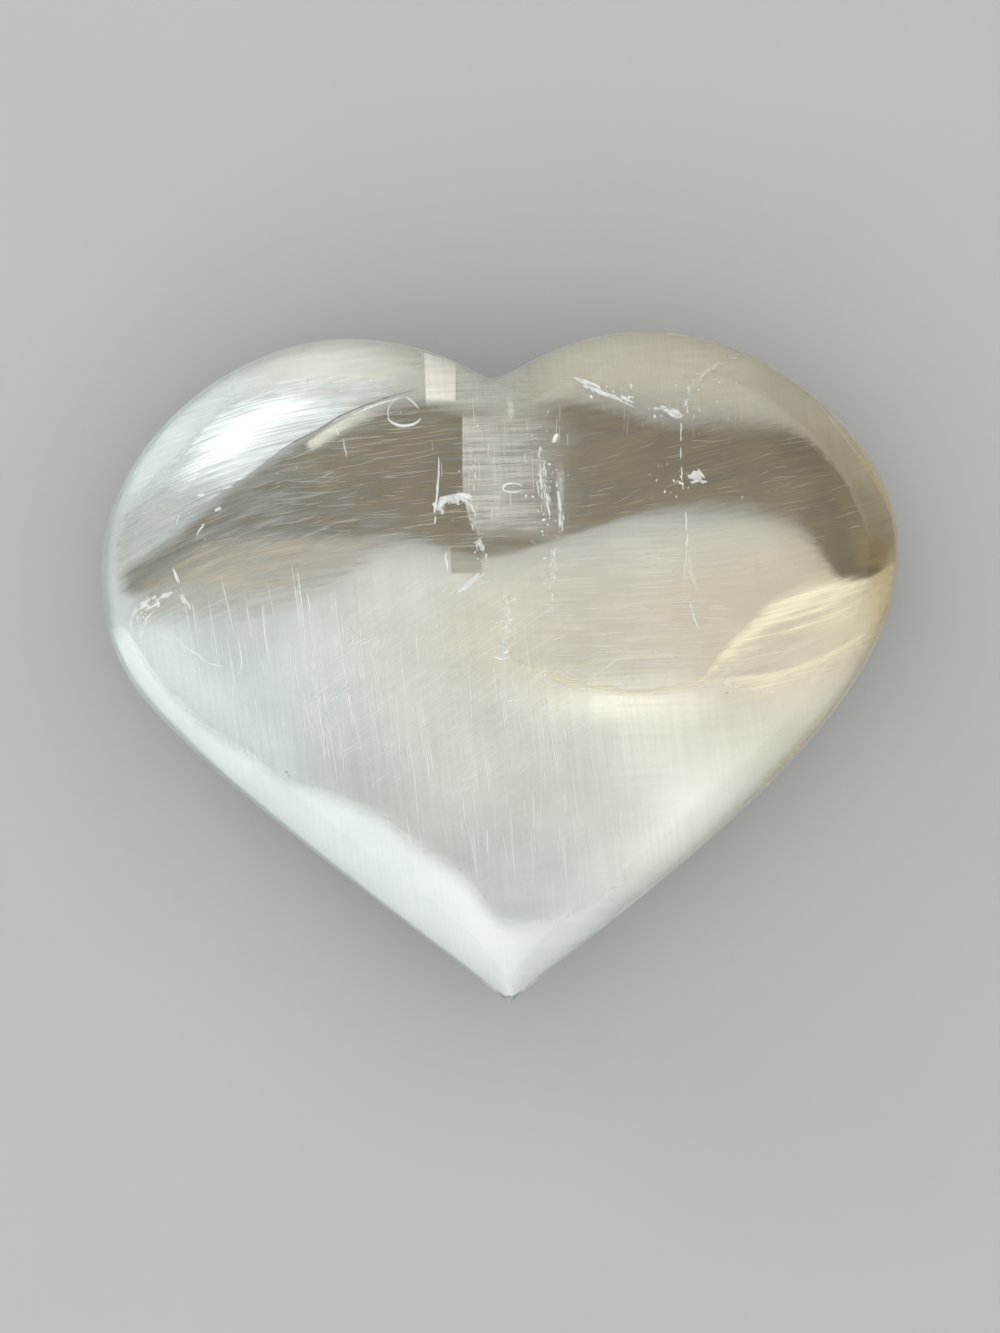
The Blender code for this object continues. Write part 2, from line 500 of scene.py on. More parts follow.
def spindles(stone, name, paths, depths, radii, material, slot="inclusion", corners=4):
    """Many thin closed threads in one mesh. Each follows its own path, an array of points of the
    front view, and is as thick as its radius times the square root of the sine of how far along
    it is, so both ends are pointed. Sections are even polygons square to the path."""
    count, steps = paths.shape[:2]
    t = np.linspace(0, 1, steps)
    middle = stone.look_in(paths[..., 0], paths[..., 1], depths[:, None])
    ahead = unit(np.gradient(middle, axis=1))
    side = unit(np.cross(ahead, (0.0, 0.0, 1.0)))
    over = np.cross(side, ahead)
    turn = np.linspace(0, math.tau, corners, endpoint=False)
    thick = radii[:, None] * MM * np.sqrt(np.sin(np.pi * t))[None]
    across = side[:, 1:-1, None] * np.cos(turn)[:, None]
    ring = across + over[:, 1:-1, None] * np.sin(turn)[:, None]
    body = middle[:, 1:-1, None] + ring * thick[:, 1:-1, None, None]
    rows = steps - 2
    each = rows * corners + 2
    points = np.concatenate([body.reshape(count, -1, 3), middle[:, :1], middle[:, -1:]], axis=1)
    quads = np.array(grid_faces(rows, corners, wrap=True))
    first = fan_faces(0, corners, each - 2, upward=False)
    last = fan_faces((rows - 1) * corners, corners, each - 1)
    starts = np.arange(count)[:, None, None] * each
    faces = (quads + starts).reshape(-1, 4).tolist()
    faces += (np.concatenate([first, last]) + starts).reshape(-1, 3).tolist()
    return put_mesh(name, points.reshape(-1, 3), faces, material)


def headings(angles):
    return np.stack([np.cos(angles), np.sin(angles)], axis=-1)


def scatter_paths(draw, middle, radii, count, length, turn, spread, bow, steps=7):
    """Straight runs thrown over an ellipse of the front view: middles at the square root of an
    even draw of its radius, lengths from an even draw, headings from a normal one about turn."""
    angle = draw.uniform(0, math.tau, count)
    reach = np.sqrt(draw.uniform(0, 1, count))
    at = np.array(middle) + np.array(radii) * reach[:, None] * headings(angle)
    ahead = headings(np.radians(draw.normal(turn, spread, count)))[:, None]
    aside = ahead[..., ::-1] * (-1, 1)
    half = draw.uniform(length[0], length[1], count)[:, None] / 2
    t = np.linspace(-1, 1, steps)
    run = (half * t)[..., None] * ahead
    bend = (half * bow * (1 - t**2))[..., None] * aside
    return at[:, None] + run + bend


def inside(stone, paths, reach=0.95):
    """The paths whose every point is within the contour at reach."""
    share = stone.share(paths[..., 0].ravel() * MM, paths[..., 1].ravel() * MM)
    return paths[share.reshape(paths.shape[:2]).max(axis=1) < reach]


FLAKE_CORNERS = 6
FLAKE_BREADTH = 0.55  # as a share of its length, as its rise is
FLAKE_RISE = 0.16
FLAKE_RADII = (0.6, 1.2)


def flakes(stone, name, places, depths, spans, draw, material, slot="inclusion"):
    """Many small closed flakes in one mesh: a six-cornered ring of uneven radius with a point on
    each side, thin one way, each turned at random by the QR factor of a normal draw."""
    count = len(places)
    middle = stone.look_in(places[:, 0], places[:, 1], depths)
    turn = np.linspace(0, math.tau, FLAKE_CORNERS, endpoint=False)
    ring = np.stack([np.cos(turn), np.sin(turn) * FLAKE_BREADTH, turn * 0], axis=1)
    ring = ring * draw.uniform(*FLAKE_RADII, (count, FLAKE_CORNERS, 1))
    tips = np.broadcast_to([[0, 0, -FLAKE_RISE], [0, 0, FLAKE_RISE]], (count, 2, 3))
    body = np.concatenate([ring, tips], axis=1) * (spans * MM / 2)[:, None, None]
    frames = np.linalg.qr(draw.normal(size=(count, 3, 3)))[0]
    frames[:, :, 2] *= np.sign(np.linalg.det(frames))[:, None]
    points = middle[:, None] + np.einsum("nij,nkj->nki", frames, body)
    low, high = FLAKE_CORNERS, FLAKE_CORNERS + 1
    lower = fan_faces(0, FLAKE_CORNERS, low, upward=False)
    upper = fan_faces(0, FLAKE_CORNERS, high)
    starts = np.arange(count)[:, None, None] * (FLAKE_CORNERS + 2)
    faces = (np.concatenate([lower, upper]) + starts).reshape(-1, 3).tolist()
    piece = put_mesh(name, points.reshape(-1, 3), faces, material)
    piece.data.shade_flat()
    return piece


# --- Materials ---

# The Mix node's sockets that carry colours. Its other kinds bear the same names.
MIX_FACTOR, MIX_FROM, MIX_TO = 0, 6, 7
MIX_RESULT = 2


class Finish:
    """A Principled material and short ways to add nodes to it."""

    def __init__(self, name, roughness=0.8):
        self.material = bpy.data.materials.new(name)
        self.material.use_nodes = True
        self.tree = self.material.node_tree
        self.shader = self.tree.nodes["Principled BSDF"]
        self.set("Roughness", roughness)

    def feed(self, socket, value):
        if isinstance(value, bpy.types.NodeSocket):
            self.tree.links.new(value, socket)
        else:
            socket.default_value = value

    def add(self, kind, inputs, output=0, **settings):
        node = self.tree.nodes.new(kind)
        for name, value in settings.items():
            setattr(node, name, value)
        for key, value in inputs.items():
            self.feed(node.inputs[key], value)
        return node.outputs[output]

    def math(self, operation, a, b=0.0, clamp=False):
        return self.add("ShaderNodeMath", {0: a, 1: b}, operation=operation, use_clamp=clamp)

    def level(self, name):
        return self.add("ShaderNodeAttribute", {}, output="Fac", attribute_name=name)

    def place(self):
        return self.add("ShaderNodeTexCoord", {}, output="Object")

    def sight(self):
        return self.add("ShaderNodeAttribute", {}, output="Vector", attribute_name="sight")

    def noise(self, place, size, turn=0.0, detail=2.0, shift=0.0):
        """Noise whose grains have the given size along x, y and z, turned about z by degrees."""
        inputs = {
            "Vector": place,
            "Location": (shift, shift, shift),
            "Rotation": (0, 0, math.radians(turn)),
            "Scale": size,
        }
        place = self.add("ShaderNodeMapping", inputs, vector_type="TEXTURE")
        return self.add("ShaderNodeTexNoise", {"Vector": place, "Scale": 1.0, "Detail": detail})

    def ramp(self, value, low, high, to_low=0.0, to_high=1.0):
        inputs = {"Value": value, "From Min": low, "From Max": high}
        inputs.update({"To Min": to_low, "To Max": to_high})
        return self.add("ShaderNodeMapRange", inputs, interpolation_type="SMOOTHSTEP")

    def mix(self, factor, a, b):
        """A colour from a to b."""
        a = a if isinstance(a, bpy.types.NodeSocket) else (*a[:3], 1)
        b = b if isinstance(b, bpy.types.NodeSocket) else (*b[:3], 1)
        inputs = {MIX_FACTOR: factor, MIX_FROM: a, MIX_TO: b}
        return self.add("ShaderNodeMix", inputs, output=MIX_RESULT, data_type="RGBA")

    def set(self, socket, value):
        self.feed(self.shader.inputs[socket], value)


EVEN = 1e6  # a grain so long that noise does not change along it
POLISH = (0.09, 0.20)  # the roughness of clear polish and of worn polish
DEPTH_TINT = 8.0  # how strongly the crystal's depth takes up light


def crystal_finish():
    """Clear crystal with a satin polish, that sanding lines and slow clouds roughen a little."""
    finish = Finish("satin_crystal")
    lines = finish.noise(finish.place(), (0.012, 0.00018, EVEN), turn=6)
    rough = finish.noise(finish.place(), (0.014, 0.010, EVEN), detail=1, shift=0.31)
    wear = finish.math("MULTIPLY", finish.ramp(lines, 0.40, 0.68), finish.ramp(rough, 0.35, 0.62))
    finish.set("Base Color", (*colours().crystal, 1))
    finish.set("Roughness", finish.ramp(wear, 0.0, 1.0, *POLISH))
    finish.set("IOR", sizes().index)
    finish.set("Transmission Weight", 1.0)
    volume = finish.tree.nodes.new("ShaderNodeVolumeAbsorption")
    volume.inputs["Color"].default_value = (*colours().absorbed, 1)
    volume.inputs["Density"].default_value = DEPTH_TINT
    output = finish.tree.nodes["Material Output"]
    finish.tree.links.new(volume.outputs[0], output.inputs["Volume"])
    return finish.material


# Finishes of the veils: the slot and the colour, how dark and how pale it turns as shares of it,
# how strongly its sanding lines, its upright fibres and its uneven cover show, and for the milk
# the shares of the colour that it turns to on the right.
VEIL_FINISHES = {
    # The smoke and umber veils and the taupe fringe paint shade, standing in for dark surroundings
    # seen through the stone; the amber veil paints the brown of those surroundings; the window
    # veil is a painted reflection of the sky; the frost and milk veils are milky crystal whose
    # whiteness is partly painted light.
    "smoke": ("smoke", "smoke", 1.0, 1.8, 0.35, 0.0, 0.15),
    "taupe": ("smoke", "taupe", 0.75, 1.0, 0.5, 0.0, 0.15),
    "umber": ("smoke", "umber", 0.9, 1.0, 0.3, 0.0, 0.15),
    "amber": ("smoke", "amber", 0.85, 1.0, 0.3, 0.0, 0.15),
    "tan": ("smoke", "tan", 0.90, 1.0, 0.12, 0.12, 0.15),
    "shoulder": ("crystal", "shoulder", 0.70, 1.0, 0.45, 0.0, 0.15),
    "pane": ("crystal", "pane", 0.84, 1.0, 0.5, 0.15, 0.25),
    "pale": ("crystal", "pane", 1.20, 1.42, 0.2, 0.08, 0.15),
    "window": ("inclusion", "milk", 0.749, 1.07, 0.6, 0.0, 0.25),
    "frost": ("inclusion", "milk", 0.80, 0.95, 0.2, 0.0, 0.1),
    "smudge": ("inclusion", "pane", 1.0, 1.35, 0.3, 0.3, 0.3),
    "milk": ("inclusion", "milk", 0.93, 1.0, 0.0, 0.14, 0.05, (0.97, 0.94, 0.89)),
    "ivory": ("inclusion", "ivory", 0.85, 1.0, 0.5, 0.0, 0.15),
}
TIP_TURN = (-22.0, 4.0)  # the milk turns warmer between these, in millimetres to the right
FRAYING = 4


def veil_finish(name):
    """A veil that covers what lies behind it by its own level: fine flaws in most veils, painted
    shade and painted light in some. Sanding lines, upright fibres and slow clouds add up to a tone
    from dark to pale. Coarser lines fray the cover where it is neither full nor nothing: by up to
    FRAYING times the fray level times the cover times what it leaves clear. The milk's pale colour
    turns warmer to the right."""
    _, tint, darkest, palest, sanding, fibres, broken, *right = VEIL_FINISHES[name]
    tint = getattr(colours(), tint)
    pale = times(tint, palest)
    finish = Finish(f"{name}_veil")
    sight = finish.sight()
    lines = finish.noise(sight, (8, EVEN, 0.13), detail=3)
    lines = finish.ramp(lines, 0.30, 0.70, -sanding, sanding)
    drift = finish.noise(sight, (7, 4, EVEN), detail=3, shift=17)
    tone = finish.math("ADD", finish.ramp(drift, 0.3, 0.7, 0.3, 0.7), lines)
    if fibres:
        upright = finish.noise(sight, (0.17, 12, EVEN), turn=7)
        tone = finish.math("ADD", tone, finish.ramp(upright, 0.30, 0.70, -fibres, fibres))
    tone = finish.math("ADD", tone, 0.0, True)
    cover = finish.level("cover")
    full = finish.math("MULTIPLY", cover, finish.ramp(tone, 0, 1, 1 - broken, 1 + broken))
    edge = finish.math("MULTIPLY", cover, finish.math("SUBTRACT", 1.0, cover))
    strands = finish.noise(sight, (6, EVEN, 0.55), detail=4, shift=5)
    strands = finish.ramp(strands, 0.3, 0.7, -FRAYING, FRAYING)
    frayed = finish.math("MULTIPLY", finish.math("MULTIPLY", edge, strands), finish.level("fray"))
    finish.set("Alpha", finish.math("ADD", full, frayed, True))
    if right:
        aside = finish.add("ShaderNodeSeparateXYZ", {0: sight})
        warmer = [c * share for c, share in zip(tint, right[0])]
        pale = finish.mix(finish.ramp(aside, *TIP_TURN), pale, warmer)
    finish.set("Base Color", finish.mix(tone, times(tint, darkest), pale))
    finish.set("Specular IOR Level", 0.0)
    return finish.material


HAZE_TONES = (0.80, 1.12)  # how dark and how pale the haze turns, as shares of its colours


def haze_finish():
    """Fine haze through the whole stone: cool to warm, and to amber by its shade level, which is
    painted shade on the right lobe, by its own levels. Its glow level lifts its tone, in places as
    painted light. Upright fibres, sanding lines and slanting lines change its tone, each by its
    level."""
    finish = Finish("body_haze")
    sight = finish.sight()
    drift = finish.noise(sight, (8, 6, EVEN), detail=3, shift=23)
    drift = finish.ramp(drift, 0.3, 0.7, -0.15, 0.15)
    # The glow level lifts the tone: at the left rim and the upper left it is painted light.
    tone = finish.math("ADD", drift, finish.level("glow"))
    grains = (
        (finish.noise(sight, (0.20, 14, EVEN), turn=7, detail=3), 0.30, "fibrous"),
        (finish.noise(sight, (9, EVEN, 0.20), detail=3), 0.50, "sanded"),
        (finish.noise(sight, (5, 0.14, EVEN), turn=36), 0.30, "slanted"),
    )
    for grain, strength, level in grains:
        swing = finish.ramp(grain, 0.30, 0.70, -strength, strength)
        tone = finish.math("ADD", tone, finish.math("MULTIPLY", swing, finish.level(level)))
    tone = finish.math("ADD", tone, 0.0, True)
    tints = colours()
    dark, pale = (
        finish.mix(finish.level("warmth"), times(tints.cool, share), times(tints.warm, share))
        for share in HAZE_TONES
    )
    # Amber by the shade level: painted shade on the right lobe's rim, a warmer tone in the patch
    # and the wedge.
    tint = finish.mix(finish.level("shade"), finish.mix(tone, dark, pale), tints.amber)
    finish.set("Base Color", tint)
    finish.set("Alpha", finish.level("cover"))
    finish.set("Specular IOR Level", 0.0)
    return finish.material


def drifting_finish(name, dark, pale, grain, low=0.35, high=0.65, roughness=0.8):
    """A finish that drifts from dark to pale by noise whose grains have one size, in metres."""
    finish = Finish(name, roughness)
    tone = finish.ramp(finish.noise(finish.place(), (grain, grain, grain)), low, high)
    finish.set("Base Color", finish.mix(tone, dark, pale))
    return finish


def pit_finish():
    return drifting_finish("dark_pit", colours().pit, times(colours().pit, 1.6), 0.0003).material


def flaw_finish(name, white):
    """White flaws: a soft, slightly uneven white."""
    return drifting_finish(name, times(white, 0.85), white, 0.0006, roughness=0.45).material


def floor_finish():
    """A plain pale floor with a trace of unevenness."""
    pale = colours().floor
    finish = drifting_finish("plain_floor", times(pale, 0.98), pale, 0.05, 0.3, 0.7, 0.9)
    finish.set("Specular IOR Level", 0.1)
    return finish.material


# --- The pieces ---


INNERMOST = 0.02  # the front's smallest contour
FLAT_RING = 0.5  # the inner contour of the flat, as a share of its rim
WAVE_START = 0.3  # how far in from the girdle the polish's waves reach their full depth

# The polish's waves: radians per metre across and along, and the phase.
WAVE_ACROSS = (340, 0, 1.3)
WAVE_ALONG = (0, 290, -0.4)
WAVE_SLANTING = (610, -380, 2.0)
WAVE_THIRD = 0.6  # how strong the slanting one is


def wave(x, y, across, along, phase):
    return np.sin(x * across + y * along + phase)


def make_surface():
    """The stone's surface: contours from the flat on the back, over the girdle, to the front.

    Shares run as the sine of an even angle, so rows crowd together at the girdle. The front is
    lowered by waves: a product of two sines, across and along, plus a slanting third."""
    edge = outline(SURFACE_COLUMNS)
    back = np.sin(np.linspace(math.asin(FLAT_SHARE), math.pi / 2, BACK_ROWS))
    front = np.sin(np.linspace(math.pi / 2, INNERMOST, FRONT_ROWS + 1))[1:]
    shares = np.concatenate([[FLAT_SHARE * FLAT_RING], back, front])
    heights = np.concatenate([[0.0], back_height(back), front_height(front)])
    rings = np.array([contour(edge, share) for share in shares])
    x, y = rings.real, rings.imag
    z = np.broadcast_to(heights[:, None], x.shape).copy()
    swell = wave(x, y, *WAVE_ACROSS) * wave(x, y, *WAVE_ALONG)
    swell = swell + WAVE_THIRD * wave(x, y, *WAVE_SLANTING)
    settle = smooth_step(1 - shares, 0.0, WAVE_START)[:, None] * (z > sizes().girdle)
    z = z - sizes().polish_wave * (swell + 1 + WAVE_THIRD) / 2 * settle
    points = np.stack([x, y, z], axis=2).reshape(-1, 3)
    rows, columns = x.shape
    ends = [[HEART_CENTRE.real, HEART_CENTRE.imag, height] for height in (0, THICKNESS)]
    points = np.vstack([points, ends])
    low, high = rows * columns, rows * columns + 1
    faces = grid_faces(rows, columns, wrap=True)
    faces += fan_faces(0, columns, low, upward=False).tolist()
    faces += fan_faces((rows - 1) * columns, columns, high).tolist()
    piece = put_mesh("polished_stone", points, faces, crystal_finish())
    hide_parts(NODE)
    return piece


# Veils: piece, finish, the two edges, the depths at them, the cover along them, and whatever
# else differs from veil()'s defaults.
DARK_VEILS = (
    # The smoky band: painted shade, a dark veil standing in for dark surroundings seen through the
    # stone.
    ("smoke_band", "smoke",
     ((-36.6, 9.2), (-34.6, 10.6), (-31.1, 12.6), (-27.5, 15.4), (-22.6, 18.7), (-18.0, 21.7),
      (-13.4, 23.9), (-8.9, 25.4), (-4.8, 25.6), (0.8, 25.4), (6.5, 26.2), (11.2, 25.0),
      (17.1, 23.4), (22.5, 24.6), (27.4, 24.2), (31.4, 21.0), (34.2, 17.6), (36.2, 15.0),
      (37.6, 12.8)),
     ((-36.2, 6.6), (-34.4, 6.1), (-32.0, 6.8), (-27.3, 7.8), (-22.7, 9.0), (-16.1, 9.7),
      (-9.7, 10.7), (-5.2, 10.5), (-1.0, 9.9), (3.9, 11.4), (7.2, 12.2), (10.5, 13.1),
      (14.1, 13.8), (18.7, 13.8), (24.3, 12.9), (28.5, 11.4), (31.4, 8.3), (34.2, 8.0),
      (37.4, 9.9)),
     (0.25, 0.55), (0.72, 0.76, 0.66, 0.60, 0.63, 0.71, 0.85, 0.82, 0.70, 0.68, 0.86, 0.96,
      0.97, 0.97, 0.98, 0.97, 0.82, 0.60),
     dict(ends=(0.06, 0.01), sides=((0.5, 0.4, 0.10, 0.08, 0.12, 0.20, 0.15, 0.22, 0.22, 0.22,
          0.25), (0.2, 0.3, 0.45, 0.25, 0.08, 0.03, 0.04, 0.25, 0.35, 0.08, 0.03)),
          size=(260, 60), turns=BAND_TURNS, fray=(0.15, 0.18, 0.24, 0.28, 0.28, 0.25, 0.20,
          0.15, 0.10, 0.10, 0.05))),
    # Its taupe fringe, painted shade as well.
    ("smoke_fringe", "taupe",
     ((-35.2, 7.6), (-31.6, 10.2), (-27.6, 12.4), (-22.7, 13.2), (-16.1, 12.8), (-11.0, 12.6),
      (-8.0, 12.4)),
     ((-35.4, 3.6), (-31.4, 3.0), (-27.0, 3.0), (-22.0, 3.2), (-17.5, 5.4), (-12.0, 9.2),
      (-8.0, 10.6)),
     (0.35, 0.45), (0.42, 0.50, 0.72, 0.80, 0.82, 0.76, 0.55, 0.3),
     dict(ends=(0.10, 0.3), sides=(0.2, (0.45, 0.5, 0.6, 0.6, 0.55, 0.6)), turns=BAND_TURNS,
          fray=0.30)),
    ("right_lobe_tan", "tan",
     ((1.0, 27.8), (3.9, 29.8), (7.6, 31.5), (13.0, 32.2), (18.7, 31.8), (23.0, 30.2),
      (27.8, 26.8), (32.8, 20.9), (35.9, 16.0), (37.9, 10.5)),
     ((1.0, 24.0), (3.9, 23.9), (7.0, 24.0), (11.2, 23.0), (17.1, 21.4), (22.5, 20.8),
      (27.8, 21.2), (31.4, 18.4), (33.6, 14.2), (34.9, 11.0)),
     (0.13, 0.15), (0.50, 0.55, 0.62, 0.68, 0.70, 0.74, 0.76, 0.80),
     dict(ends=(0.10, 0.05), sides=(0.0, (0.45, 0.45, 0.5, 0.5, 0.30, 0.20, 0.15)),
          size=(200, 40), fray=0.06)),
    # Painted shade along the right lobe's rim, in umber.
    ("rim_smoke", "umber",
     ((20.0, 32.0), (26.0, 29.2), (31.4, 24.0), (35.0, 18.4), (37.0, 13.6), (37.8, 9.6)),
     ((20.5, 27.0), (24.5, 24.6), (27.8, 21.3), (30.0, 17.6), (31.8, 13.2), (33.0, 9.0)),
     (0.10, 0.11), (0.0, 0.15, 0.22, 0.33, 0.47, 0.56),
     dict(ends=(0.2, 0.02), sides=(0.0, 0.35), size=(120, 40))),
    ("left_lobe_tan", "tan",
     ((-24.5, 27.8), (-19.0, 30.0), (-14.2, 30.8), (-9.5, 30.2), (-7.0, 29.6)),
     ((-24.5, 25.9), (-20.5, 27.3), (-15.5, 27.2), (-11.0, 26.6), (-7.0, 26.4)),
     (0.40, 0.30), (0.0, 0.08, 0.14, 0.24, 0.36),
     dict(ends=(0.2, 0.0), sides=(0.02, 0.5), size=(100, 30), fray=0.2)),
    ("wedge", "taupe",
     ((18.5, 14.0), (21.5, 13.6), (25.0, 13.0), (29.0, 12.0), (32.0, 9.6)),
     ((18.4, 0.5), (19.5, 1.3), (22.0, 3.4), (26.0, 7.0), (31.0, 9.0)),
     (0.50, 0.50), (0.0, 0.02, 0.02, 0.06, 0.30),
     dict(ends=(0.12, 0.1), sides=(0.02, 0.5), size=(80, 60), fray=0.3)),
    ("slip_shadow", "smoke",
     ((-4.7, 11.2), (-4.7, 9.8), (-4.6, 8.6)),
     ((-1.3, 11.2), (-1.4, 9.8), (-1.5, 8.7)),
     (0.20, 0.20), (0.5, 0.5, 0.4),
     dict(ends=(0.02, 0.1), sides=(0.02, 0.15), size=(30, 30))),
    # Painted brown along the right edge: the brown of the surroundings seen through it.
    ("brown_edge", "amber",
     ((38.2, 12.6), (38.2, 8.6), (37.6, 4.6), (36.0, 0.2), (33.0, -4.2), (29.2, -8.2),
      (25.4, -11.8), (22.4, -14.6)),
     ((35.6, 12.4), (35.2, 8.0), (34.6, 4.2), (33.2, 0.4), (30.4, -3.6), (27.4, -7.0),
      (24.2, -10.6), (21.5, -13.7)),
     (0.35, 0.25), (0.80, 0.78, 0.78, 0.85, 0.90, 0.85, 0.6),
     dict(ends=(0.06, 0.15), sides=(0.0, 0.8), size=(120, 30))),
)
PALE_VEILS = (
    ("sanded_shoulder", "shoulder",
     ((-36.4, 8.0), (-34.4, 9.6), (-31.1, 12.0), (-27.5, 14.9), (-23.6, 17.7)),
     ((-36.8, 11.0), (-35.6, 14.6), (-33.6, 17.4), (-31.2, 19.2), (-27.5, 21.5)),
     (0.26, 0.14), (0.60, 0.75, 0.70, 0.45, 0.10),
     dict(ends=(0.20, 0.4), sides=(0.05, 0.45), turns=BAND_TURNS, fray=0.35)),
    # A painted reflection of the sky: a pale veil over the upper left lobe.
    ("pale_window", "window",
     ((-33.5, 11.2), (-31.1, 12.4), (-27.5, 15.4), (-22.6, 18.7), (-18.0, 21.7), (-13.4, 23.9),
      (-7.4, 25.9)),
     ((-35.6, 13.7), (-33.4, 17.3), (-30.1, 19.9), (-27.5, 23.2), (-23.5, 25.6), (-18.5, 27.4),
      (-8.0, 26.8)),
     (0.28, 0.11), (0.0, 0.05, 0.55, 0.97, 0.90, 0.50, 0.30),
     dict(ends=(0.10, 0.10), sides=(0.03, 0.10), turns=BAND_TURNS, fray=0.35)),
    # Milky frost along the upper left rim, its whiteness partly painted light.
    ("rim_frost", "frost",
     ((-36.6, 11.6), (-35.2, 14.8), (-32.8, 17.2), (-30.1, 19.8), (-27.1, 22.8), (-23.2, 25.3),
      (-18.5, 27.3)),
     ((-38.4, 14.0), (-37.4, 18.0), (-35.6, 21.0), (-32.4, 25.0), (-28.4, 28.2), (-23.4, 30.8),
      (-18.4, 31.8)),
     (0.25, 0.12), (0.10, 0.55, 0.85, 0.85, 0.75, 0.50, 0.20),
     dict(ends=(0.5, 0.5), sides=(0.08, 0.0), size=(160, 24))),
    ("cleft_veil", "pane",
     ((-7.1, 29.8), (-4.0, 28.9), (-1.0, 28.2), (1.0, 27.8), (3.9, 29.6), (7.0, 31.2)),
     ((-7.0, 23.6), (-4.0, 23.4), (-1.0, 23.4), (1.0, 23.4), (4.0, 23.6), (7.5, 24.6)),
     (0.18, 0.22), (0.55, 0.60, 0.55, 0.45, 0.30, 0.10),
     dict(ends=(0.01, 0.2), sides=(0.0, 0.35), size=(80, 50))),
    ("light_strip", "pale",
     ((-7.2, 29.6), (-7.1, 27.0), (-7.0, 24.7)),
     ((-4.1, 28.8), (-4.1, 26.6), (-4.1, 24.7)),
     (0.16, 0.16), (0.93, 0.93, 0.88),
     dict(ends=(0.0, 0.15), sides=(0.02, 0.03), size=(40, 30))),
    ("cleavage_pane", "pane",
     ((-3.6, 25.0), (-3.6, 22.0), (-3.6, 18.0), (-3.3, 15.0), (-1.8, 11.6)),
     ((8.4, 25.0), (8.4, 22.0), (8.4, 18.0), (8.3, 15.0), (8.2, 11.6)),
     (0.15, 0.15), (0.60, 0.64, 0.57, 0.55, 0.34),
     dict(ends=(0.25, 0.10), sides=(0.008, 0.75), size=(80, 80), fray=0.15)),
    ("pane_patch", "pale",
     ((-3.3, 16.4), (-3.2, 14.6), (-3.0, 13.2)),
     ((0.2, 16.2), (0.3, 14.6), (0.4, 13.2)),
     (0.12, 0.12), 0.15,
     dict(ends=(0.1, 0.15), sides=(0.1, 0.15), size=(40, 40))),
    ("slip_patch", "pale",
     ((-18.6, 20.9), (-17.0, 22.0), (-15.0, 23.2), (-12.6, 24.2), (-10.0, 25.0)),
     ((-18.1, 19.8), (-16.9, 20.2), (-14.6, 21.6), (-12.2, 22.8), (-10.0, 23.6)),
     (0.10, 0.10), (0.50, 0.68, 0.66, 0.48, 0.20),
     dict(ends=(0.12, 0.35), sides=(0.15, 0.6), size=(60, 20), turns=BAND_TURNS, fray=0.12)),
)
MILK_VEILS = (
    # Milky crystal along the lower rim, its whiteness partly painted light.
    ("rim_milk", "milk",
     ((-35.4, 4.8), (-33.9, 2.6), (-31.7, -0.6), (-29.2, -3.3), (-26.2, -5.8), (-22.3, -8.0),
      (-19.7, -10.0), (-15.1, -11.1), (-10.3, -13.3), (-6.3, -16.2), (-2.7, -18.7),
      (-0.8, -21.4), (0.6, -22.7), (4.3, -22.8), (7.9, -21.9), (9.6, -20.3), (11.4, -17.9),
      (13.6, -15.7), (17.6, -12.6), (24.3, -7.0)),
     ((-38.4, 4.4), (-37.3, 0.2), (-35.4, -4.2), (-33.3, -7.6), (-30.3, -10.4), (-27.0, -12.8),
      (-23.7, -15.2), (-19.7, -18.2), (-15.7, -21.1), (-11.7, -24.1), (-7.7, -27.2),
      (-3.7, -30.1), (0.6, -32.4), (4.4, -30.5), (8.4, -27.0), (11.8, -23.9), (14.8, -21.1),
      (18.3, -18.1), (22.1, -14.5), (27.6, -9.0)),
     (0.30, 0.14), (1.0, 1.0, 1.0, 0.92, 0.90, 0.94, 0.85, 0.60, 0.26, 0.05, 0.0),
     dict(ends=(0.05, 0.15), sides=((0.35, 0.40, 0.4, 0.3), 0.0), crest=(0.3, 0.10, 0.22),
          size=(260, 40), fray=0.03)),
    ("ivory_ridge", "ivory",
     ((0.4, 1.0), (4.3, -0.3), (7.0, -1.2), (10.5, -1.8), (13.3, -2.1), (16.5, -1.6),
      (18.9, -0.9), (20.4, 1.1), (22.3, 3.4), (25.2, 6.2), (28.8, 8.0), (32.4, 8.7),
      (34.6, 8.8), (36.8, 9.4)),
     ((0.8, 0.6), (4.5, -1.2), (7.0, -2.2), (10.5, -2.8), (13.3, -3.0), (16.8, -2.6),
      (19.6, -2.2), (22.0, -1.3), (24.6, -1.0), (28.1, -0.3), (31.4, 1.6), (34.0, 3.4),
      (35.2, 4.6), (36.6, 6.6)),
     (0.30, 0.45), (0.5, 0.85, 0.9, 0.95, 0.8, 0.6, 0.5, 0.5, 0.5, 0.5, 0.45, 0.25, 0.1),
     dict(ends=(0.08, 0.10), sides=((0.3, 0.3, 0.3, 0.5), 0.7), crest=(1.3, 0.12, 0.18),
          size=(220, 40), fray=(0.05, 0.05, 0.1, 0.3, 0.3, 0.25))),
    ("lower_ridge", "ivory",
     ((35.2, 4.8), (34.4, 3.6), (31.4, 1.6), (28.0, 0.3), (24.6, -0.6), (21.0, -0.9),
      (19.2, -0.6)),
     ((35.2, 1.0), (33.2, -0.6), (30.4, -2.2), (27.0, -3.4), (24.0, -4.2), (21.0, -4.6),
      (19.0, -4.4)),
     (0.40, 0.45), (0.2, 0.35, 0.4, 0.4, 0.35, 0.2),
     dict(ends=(0.15, 0.3), sides=(0.1, 0.8), crest=(0.9, 0.10, 0.10), size=(120, 40),
          fray=0.2)),
)

SMUDGE_DEPTH = 0.12

